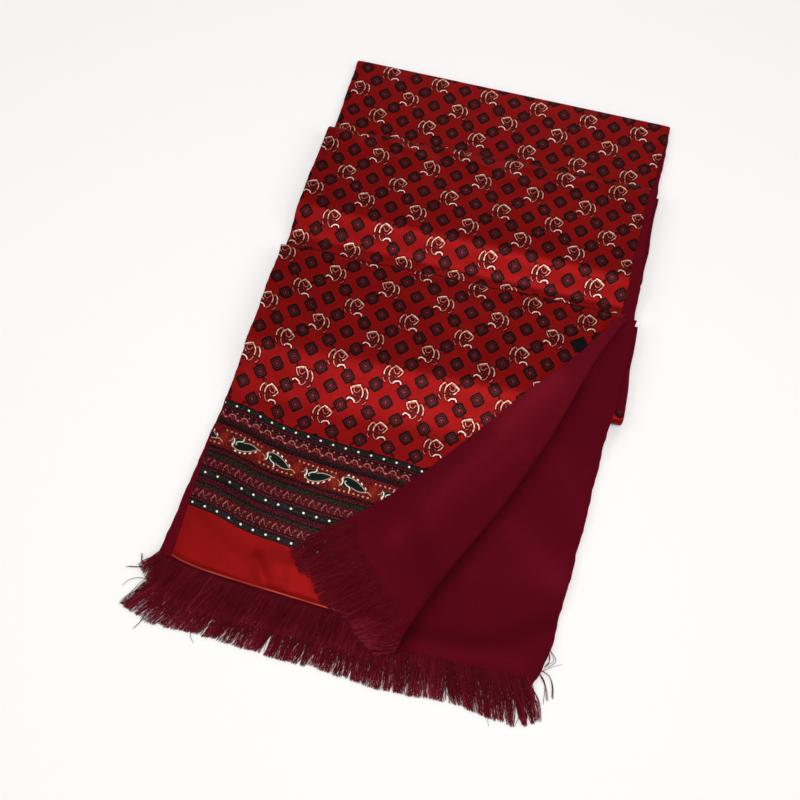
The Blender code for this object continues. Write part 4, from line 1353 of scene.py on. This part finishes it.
def tubes(paths, radii):
    """Points and quads of square tubes: path + radius (cos a * sideways + sin a * upward), capped."""
    count, steps = paths.shape[:2]
    way = np.gradient(paths, axis=1)
    way /= np.linalg.norm(way, axis=-1, keepdims=True) + 1e-12
    sideways = np.stack([way[..., 1], -way[..., 0], np.zeros_like(way[..., 0])], axis=-1)
    sideways /= np.linalg.norm(sideways, axis=-1, keepdims=True) + 1e-12
    upward = np.cross(sideways, way)
    angle = np.linspace(0, 2 * math.pi, 5)[:-1]
    ring = (np.cos(angle)[:, None] * sideways[:, :, None] + np.sin(angle)[:, None] * upward[:, :, None])
    points = paths[:, :, None] + radii[:, :, None, None] * ring
    at = np.arange(count * steps * 4).reshape(count, steps, 4)
    after = np.roll(at, -1, axis=2)
    sides = np.stack([at[:, :-1], at[:, 1:], after[:, 1:], after[:, :-1]], axis=-1).reshape(-1, 4)
    return points.reshape(-1, 3), np.concatenate([sides, at[:, 0], at[:, -1, ::-1]])


def thread_piece(name, paths, radii, shade):
    """One piece of many threads, each with a shade of its own and a cell of the bake map."""
    count, steps = paths.shape[:2]
    points, quads = tubes(paths, radii)
    piece = new_piece(name, points, quads, yarn)
    layer = piece.data.attributes.new("shade", "FLOAT", "POINT")
    layer.data.foreach_set("value", np.repeat(shade.reshape(-1), 4).astype(np.float32))
    side = math.ceil(math.sqrt(count))
    strand = quads // (steps * 4)
    step = quads % (steps * 4) // 4
    turn = np.tile([0.0, 0.0, 1.0, 1.0], (len(quads), 1)) * 0.25 + (quads[:, :1] % 4) * 0.25
    turn[-2 * count:] = np.array([0.1, 0.3, 0.3, 0.1])
    rise = (step / (steps - 1)).astype(float)
    rise[-2 * count:] = rise[-2 * count:] * 0.98 + np.array([0.0, 0.0, 0.02, 0.02])
    margin, inner = 0.06, 0.88
    cell = np.stack([strand % side + margin + inner * turn, strand // side + margin + inner * rise], axis=-1)
    give_uv(piece, "OFBake", cell / side)
    return piece


print("thread helpers ready")

# %% Fringe


STEPS = np.linspace(0.0, 1.0, 9)             # places along a thread
LOCK = 0.0065                # width of a lock of threads at its root
DENSE = np.linspace(0.0, 1.0, 120)           # places along a fringe's root line or tip line
THREAD_REST = 0.0002         # a thread's radius, by which it lies above the cloth


def parted(shares, gaps):
    """Push shares apart at gaps, each (place, reach): reach * sign(off) * exp(-|off| / (2 reach)), added."""
    for place, reach in gaps:
        off = shares - place
        shares = shares + reach * np.sign(off) * np.exp(-np.abs(off) / (2 * reach))
    return shares


def loose(strays, random):
    """Paths of loose threads: each row of (how many, points) is a curve, with its twins fanning out."""
    paths = []
    for twins, points in strays:
        last = len(points) - 1
        path = curve([(x, y, 0.0016 - 0.0012 * k / last) for k, (x, y) in enumerate(points)], STEPS)
        fan = random.normal(0.0, 0.0007, (twins, 1, 2)) * (0.25 + STEPS[None, :, None])
        copies = np.repeat(path[None], twins, axis=0)
        copies[..., :2] += fan
        paths.append(copies)
    return np.concatenate(paths)


def fringe(name, count, root, tips, fall, seed, inset, gaps=(), strays=(), varied=1.0, tone=0.40):
    """Threads of one fringe. root and tips are dense lines of (x, y, z); fall is how late they come down,
    inset is how far inside the root line the innermost threads come out of the cloth, and varied is how
    much their shades differ about their tone."""
    random = np.random.default_rng(seed)
    at = np.sort((np.arange(count) + random.uniform(-0.8, 1.8, count)) / count).clip(0.0, 1.0)
    length = length_of(root)
    edges = np.cumsum(random.uniform(0.55, 1.5, int(length / LOCK * 1.6)) * LOCK / length)
    lock = np.searchsorted(edges, at)
    middles = np.concatenate([[0.0], edges]) + np.diff(np.concatenate([[0.0], edges, [1.0]])) / 2
    squeeze = random.uniform(0.78, 1.04, len(middles))[lock]
    sweep = random.normal(0.0, 0.0014, len(middles))[lock] / length
    long = random.uniform(0.95, 1.03, len(middles))[lock]
    own = random.normal(0.0, 0.0010, count) / length
    tip_at = parted(middles[lock] + (at - middles[lock]) * squeeze + sweep + own, gaps)
    start = resample(root, at)
    end = resample(tips, tip_at.clip(0.0, 1.0))
    outside = (tip_at - tip_at.clip(0.0, 1.0)) * length
    end[:, :2] += outside[:, None] * (root[-1, :2] - root[0, :2]) / length
    sparse = wander(at * length, 1.0, 0.055, seed + 50) > 0.30
    short = random.uniform(0.0, 1.0, count) < np.where(sparse, 0.50, 0.14)
    cut = short * random.uniform(0.06, 0.38, count)
    reach = (long * (1 - cut - random.uniform(0.0, 0.06, count)))[:, None]
    end[:, :2] = start[:, :2] + (end[:, :2] - start[:, :2]) * reach
    way = end[:, :2] - start[:, :2]
    way /= np.linalg.norm(way, axis=1, keepdims=True)
    start[:, :2] -= way * (inset * random.uniform(0.0, 1.0, count))[:, None]
    layer = random.uniform(0.0, 1.0, count)
    share = STEPS[None, :, None]
    paths = start[:, None] * (1 - share) + end[:, None] * share
    down = end[:, :2] - start[:, :2]
    across = np.stack([-down[:, 1], down[:, 0]], axis=1)
    bend, wave, kink = (random.normal(0.0, size, count)[:, None] for size in (0.040, 0.028, 0.012))
    shape = bend * np.sin(math.pi * STEPS) + wave * np.sin(2 * math.pi * STEPS) + kink * np.sin(5 * STEPS)
    paths[..., :2] += shape[..., None] * across[:, None]
    level = start[:, 2, None] + (end[:, 2, None] - start[:, 2, None]) * smooth(STEPS ** fall)[None, :]
    hump = (0.0005 * np.sin(math.pi * STEPS))[None, :] * random.uniform(0.2, 1.2, count)[:, None]
    paths[..., 2] = level + hump + layer[:, None] * 0.0010 * np.minimum(STEPS * 4, 1)[None, :]
    shade = random.normal(0.0, 0.14, count) + random.normal(0.0, 0.05, len(middles))[lock]
    # painted light and shade: threads lying higher grow paler towards their tips, those lower down are darker
    shade = shade[:, None] + 0.40 * layer[:, None] * STEPS ** 3 - 0.10 * (1 - layer[:, None])
    shade = tone + varied * shade
    if strays:
        single = loose(strays, random)
        paths = np.concatenate([paths, single])
        shade = np.concatenate([shade, np.full(single.shape[:2], 0.45)])
    radii = random.uniform(0.00016, 0.00027, len(paths))[:, None] * (1 - 0.40 * STEPS ** 3)[None, :]
    piece = thread_piece(name, paths, radii, shade.clip(0.0, 1.0))
    print(name, "has", len(paths), "threads in", len(set(lock.tolist())), "locks")
    return piece


def on_cloth(points, relief, level):
    """A dense line through (x, y) points, a thread's radius above the face of a ply at its level."""
    flat = curve(points, DENSE)
    return raised(flat, near_height(*flat.T) + relief(*flat.T) + level + THREAD_REST)


def low_root(x):
    """Where the lower ply's threads come out at x: along its end, which is bowed out."""
    share = (x + 0.156) / 0.306
    return x, -0.2413 + 0.005 * share - SAG * math.sin(math.pi * share)


print("a thread is drawn through", len(STEPS), "places")


# %% Place the fringes
#               how many  points
LOW_STRAYS = ((2, ((-0.1500, -0.2620), (-0.1537, -0.2770), (-0.1572, -0.2832))),
              (1, ((-0.1126, -0.2650), (-0.1126, -0.2762), (-0.1088, -0.2799))),
              (5, ((0.1545, -0.2255), (0.1626, -0.2286), (0.1664, -0.2356), (0.1677, -0.2435))),
              (4, ((0.1545, -0.2280), (0.1615, -0.2360), (0.1656, -0.2467))),
              (2, ((0.1560, -0.2290), (0.1598, -0.2322), (0.1639, -0.2484))),
              (1, ((0.1540, -0.2290), (0.1640, -0.2200), (0.1713, -0.2154))),
              (2, ((0.1580, -0.2090), (0.1635, -0.2158), (0.1575, -0.2230))),
              (2, ((0.1580, -0.2100), (0.1605, -0.2183), (0.1575, -0.2240))),
              (3, ((0.1500, -0.2380), (0.1590, -0.2480), (0.1632, -0.2610))),
              (1, ((0.1250, -0.2600), (0.1260, -0.2735), (0.1278, -0.2774))))
NEAR_STRAYS = ((2, ((-0.1610, -0.2340), (-0.1686, -0.2335), (-0.1716, -0.2269))),
               (1, ((-0.1600, -0.2330), (-0.1666, -0.2325), (-0.1699, -0.2264))),
               (3, ((-0.1570, -0.2330), (-0.1697, -0.2374), (-0.1801, -0.2399))),
               (1, ((-0.1560, -0.2440), (-0.1697, -0.2472), (-0.1736, -0.2502), (-0.1765, -0.2556))),
               (1, ((0.0300, -0.2500), (0.0370, -0.2580), (0.0350, -0.2640))))
low_fringe = fringe(
    "low_fringe", 2700,
    on_cloth([low_root(x) for x in np.linspace(-0.1548, 0.1497, 9)], low_relief, LOW_WOOL[1]),
    curve(((-0.1742, -0.2694, 0.0006), (-0.1632, -0.2742, 0.0006), (-0.1414, -0.2767, 0.0006),
           (-0.1043, -0.2739, 0.0006), (-0.0584, -0.2745, 0.0006), (0.0, -0.2734, 0.0006),
           (0.0400, -0.2750, 0.0006), (0.0948, -0.2695, 0.0006), (0.1340, -0.2710, 0.0006),
           (0.1480, -0.2712, 0.0006), (0.1625, -0.2625, 0.0006)), DENSE),
    fall=1.1, seed=5, inset=0.005, strays=LOW_STRAYS, varied=0.80,
    gaps=((0.20, 0.003), (0.44, 0.005), (0.56, 0.003), (0.66, 0.005), (0.955, 0.010), (0.978, 0.005)))
near_fringe = fringe(
    "near_fringe", 1650,
    on_cloth(((-0.1548, -0.2205), (-0.1562, -0.2245), (-0.1475, -0.2258), (-0.1343, -0.2276),
              (-0.1200, -0.2286), (-0.0600, -0.2296), (0.0405, -0.2302)), near_relief, TOP_WOOL[1]),
    curve(((-0.1701, -0.2369, 0.0030), (-0.1625, -0.2440, 0.0026), (-0.1536, -0.2516, 0.0024),
           (-0.1427, -0.2580, 0.0024), (-0.1173, -0.2596, 0.0024), (-0.0636, -0.2576, 0.0024),
           (-0.0060, -0.2550, 0.0024), (0.0383, -0.2575, 0.0024)), DENSE),
    fall=1.4, seed=6, inset=0.0035, gaps=((0.24, 0.004), (0.71, 0.003)), strays=NEAR_STRAYS, varied=0.72)
ROOT_ROW = 9                 # row of the corner's grid from which its threads come out
end_row = (corner_faces[1][ROOT_ROW, :-ROLL_STEPS] + corner_faces[0][ROOT_ROW, :-ROLL_STEPS]) / 2
end_row[:, 2] += WOOL / 2 + THREAD_REST
print("the corner's threads start from", end_row[0].round(4), "to", end_row[-1].round(4))
corner_fringe = fringe(
    "corner_fringe", 760, end_row,
    on_cloth(((-0.0576, -0.1925), (-0.0481, -0.2056), (-0.0400, -0.2100), (-0.0275, -0.2195),
              (-0.0190, -0.2262), (-0.0110, -0.2318), (0.0010, -0.2335), (0.0105, -0.2398),
              (0.0209, -0.2467)), near_relief, TOP_SILK[1]),
    fall=1.4, seed=7, inset=0.014, gaps=((0.60, 0.012),), varied=0.45, tone=0.46)
# the last threads before the crest are bent over to the left and lie on top of the rest
crest_fringe = fringe(
    "crest_fringe", 260,
    curve(((0.0250, -0.2190, 0.0114), (0.0370, -0.2240, 0.0122), (0.0435, -0.2315, 0.0112),
           (0.0425, -0.2440, 0.0066)), DENSE),
    curve(((0.0035, -0.2325, 0.0082), (0.0095, -0.2400, 0.0072), (0.0175, -0.2450, 0.0064),
           (0.0275, -0.2495, 0.0056)), DENSE),
    fall=1.2, seed=9, inset=0.003, varied=0.60, tone=0.56)
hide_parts("lower_ply_fringe")
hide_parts("near_run_fringe")
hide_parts("turned_corner_fringe")
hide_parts("turned_corner_fringe")

# %% [markdown]
# ## Label
# A small woven label is sewn to the satin beside the turned corner. It is black and bare.

# %% Label
LABEL_MIDDLE = (0.1238, 0.0362)
LABEL_SIZE = (0.0130, 0.0110)
LABEL_TURN = math.radians(38)
across, along = np.meshgrid(rimmed(14, LABEL_SIZE[0]) - 0.5, rimmed(12, LABEL_SIZE[1]) - 0.5)
cos, sin = math.cos(LABEL_TURN), math.sin(LABEL_TURN)
spot = np.stack([across * LABEL_SIZE[0] * cos - along * LABEL_SIZE[1] * sin + LABEL_MIDDLE[0],
                 across * LABEL_SIZE[0] * sin + along * LABEL_SIZE[1] * cos + LABEL_MIDDLE[1]], axis=-1)
ground_z = near_height(spot[..., 0], spot[..., 1]) + near_relief(spot[..., 0], spot[..., 1]) + SILK_MIDDLE
full = (fullness(along[:, 0] + 0.5, LABEL_SIZE[1])[:, None]
        * fullness(across[0] + 0.5, LABEL_SIZE[0])[None, :])
under = raised(spot, ground_z + SATIN / 2 + 0.00005)
upper = raised(spot, ground_z + SATIN / 2 + 0.0001 + 0.0005 * full)
ribbing = np.stack([across * LABEL_SIZE[0], along * LABEL_SIZE[1]], axis=-1)
label = walls("label_cloth", [(under, upper, ribbing)], black)
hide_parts("label")

# %% [markdown]
# ## Floor and light
# The scarf lies on a plain pale surface in a bright studio. One soft box overhead, a little to the viewer's
# side, is what the satin mirrors on its slopes. Four broad lights round it fill the shadows.

# %% Floor
FLOOR_HALF = 6               # half its width
FLOOR_Z = -0.0002            # it lies a hair below the cloth
floor_mesh = bpy.data.meshes.new("floor")
floor_mesh.from_pydata([(x * FLOOR_HALF, y * FLOOR_HALF, FLOOR_Z) for x, y in ((-1, -1), (1, -1), (1, 1), (-1, 1))],
                       [], [(0, 1, 2, 3)])
floor = bpy.data.objects.new("floor", floor_mesh)
bpy.context.scene.collection.objects.link(floor)
pale, tree, shader = new_finish("pale floor")
fill(tree, shader, Base_Color=(0.93, 0.908, 0.903, 1.0), Roughness=0.8, Specular_IOR_Level=0.2)
floor_mesh.materials.append(pale)
print("the floor is", 2 * FLOOR_HALF, "m wide")

# %% Lights
AIM = Vector((0.0, 0.0, 0.0))
#          name        place                size   power
LIGHTS = (("overhead", (0.12, -0.34, 1.65), 0.62, 13.6),
          ("left", (-1.35, 0.0, 1.25), 1.1, 7.4),
          ("right", (1.35, 0.1, 1.25), 1.1, 6.8),
          ("far", (0.0, 1.45, 1.20), 1.1, 6.6),
          ("near", (0.0, -1.45, 1.25), 1.1, 5.2))
for name, place, size, power in LIGHTS:
    data = bpy.data.lights.new(name, "AREA")
    data.size = size
    data.energy = power
    light = bpy.data.objects.new(name, data)
    light.location = place
    light.rotation_euler = (AIM - Vector(place)).to_track_quat("-Z", "Y").to_euler()
    bpy.context.scene.collection.objects.link(light)
world = bpy.data.worlds.new("studio")
world.use_nodes = True
fill(world.node_tree, world.node_tree.nodes["Background"], Color=(1.0, 0.99, 0.985, 1.0), Strength=0.18)
bpy.context.scene.world = world
print(len(LIGHTS), "lights placed")

# %% [markdown] End

print("scene built")
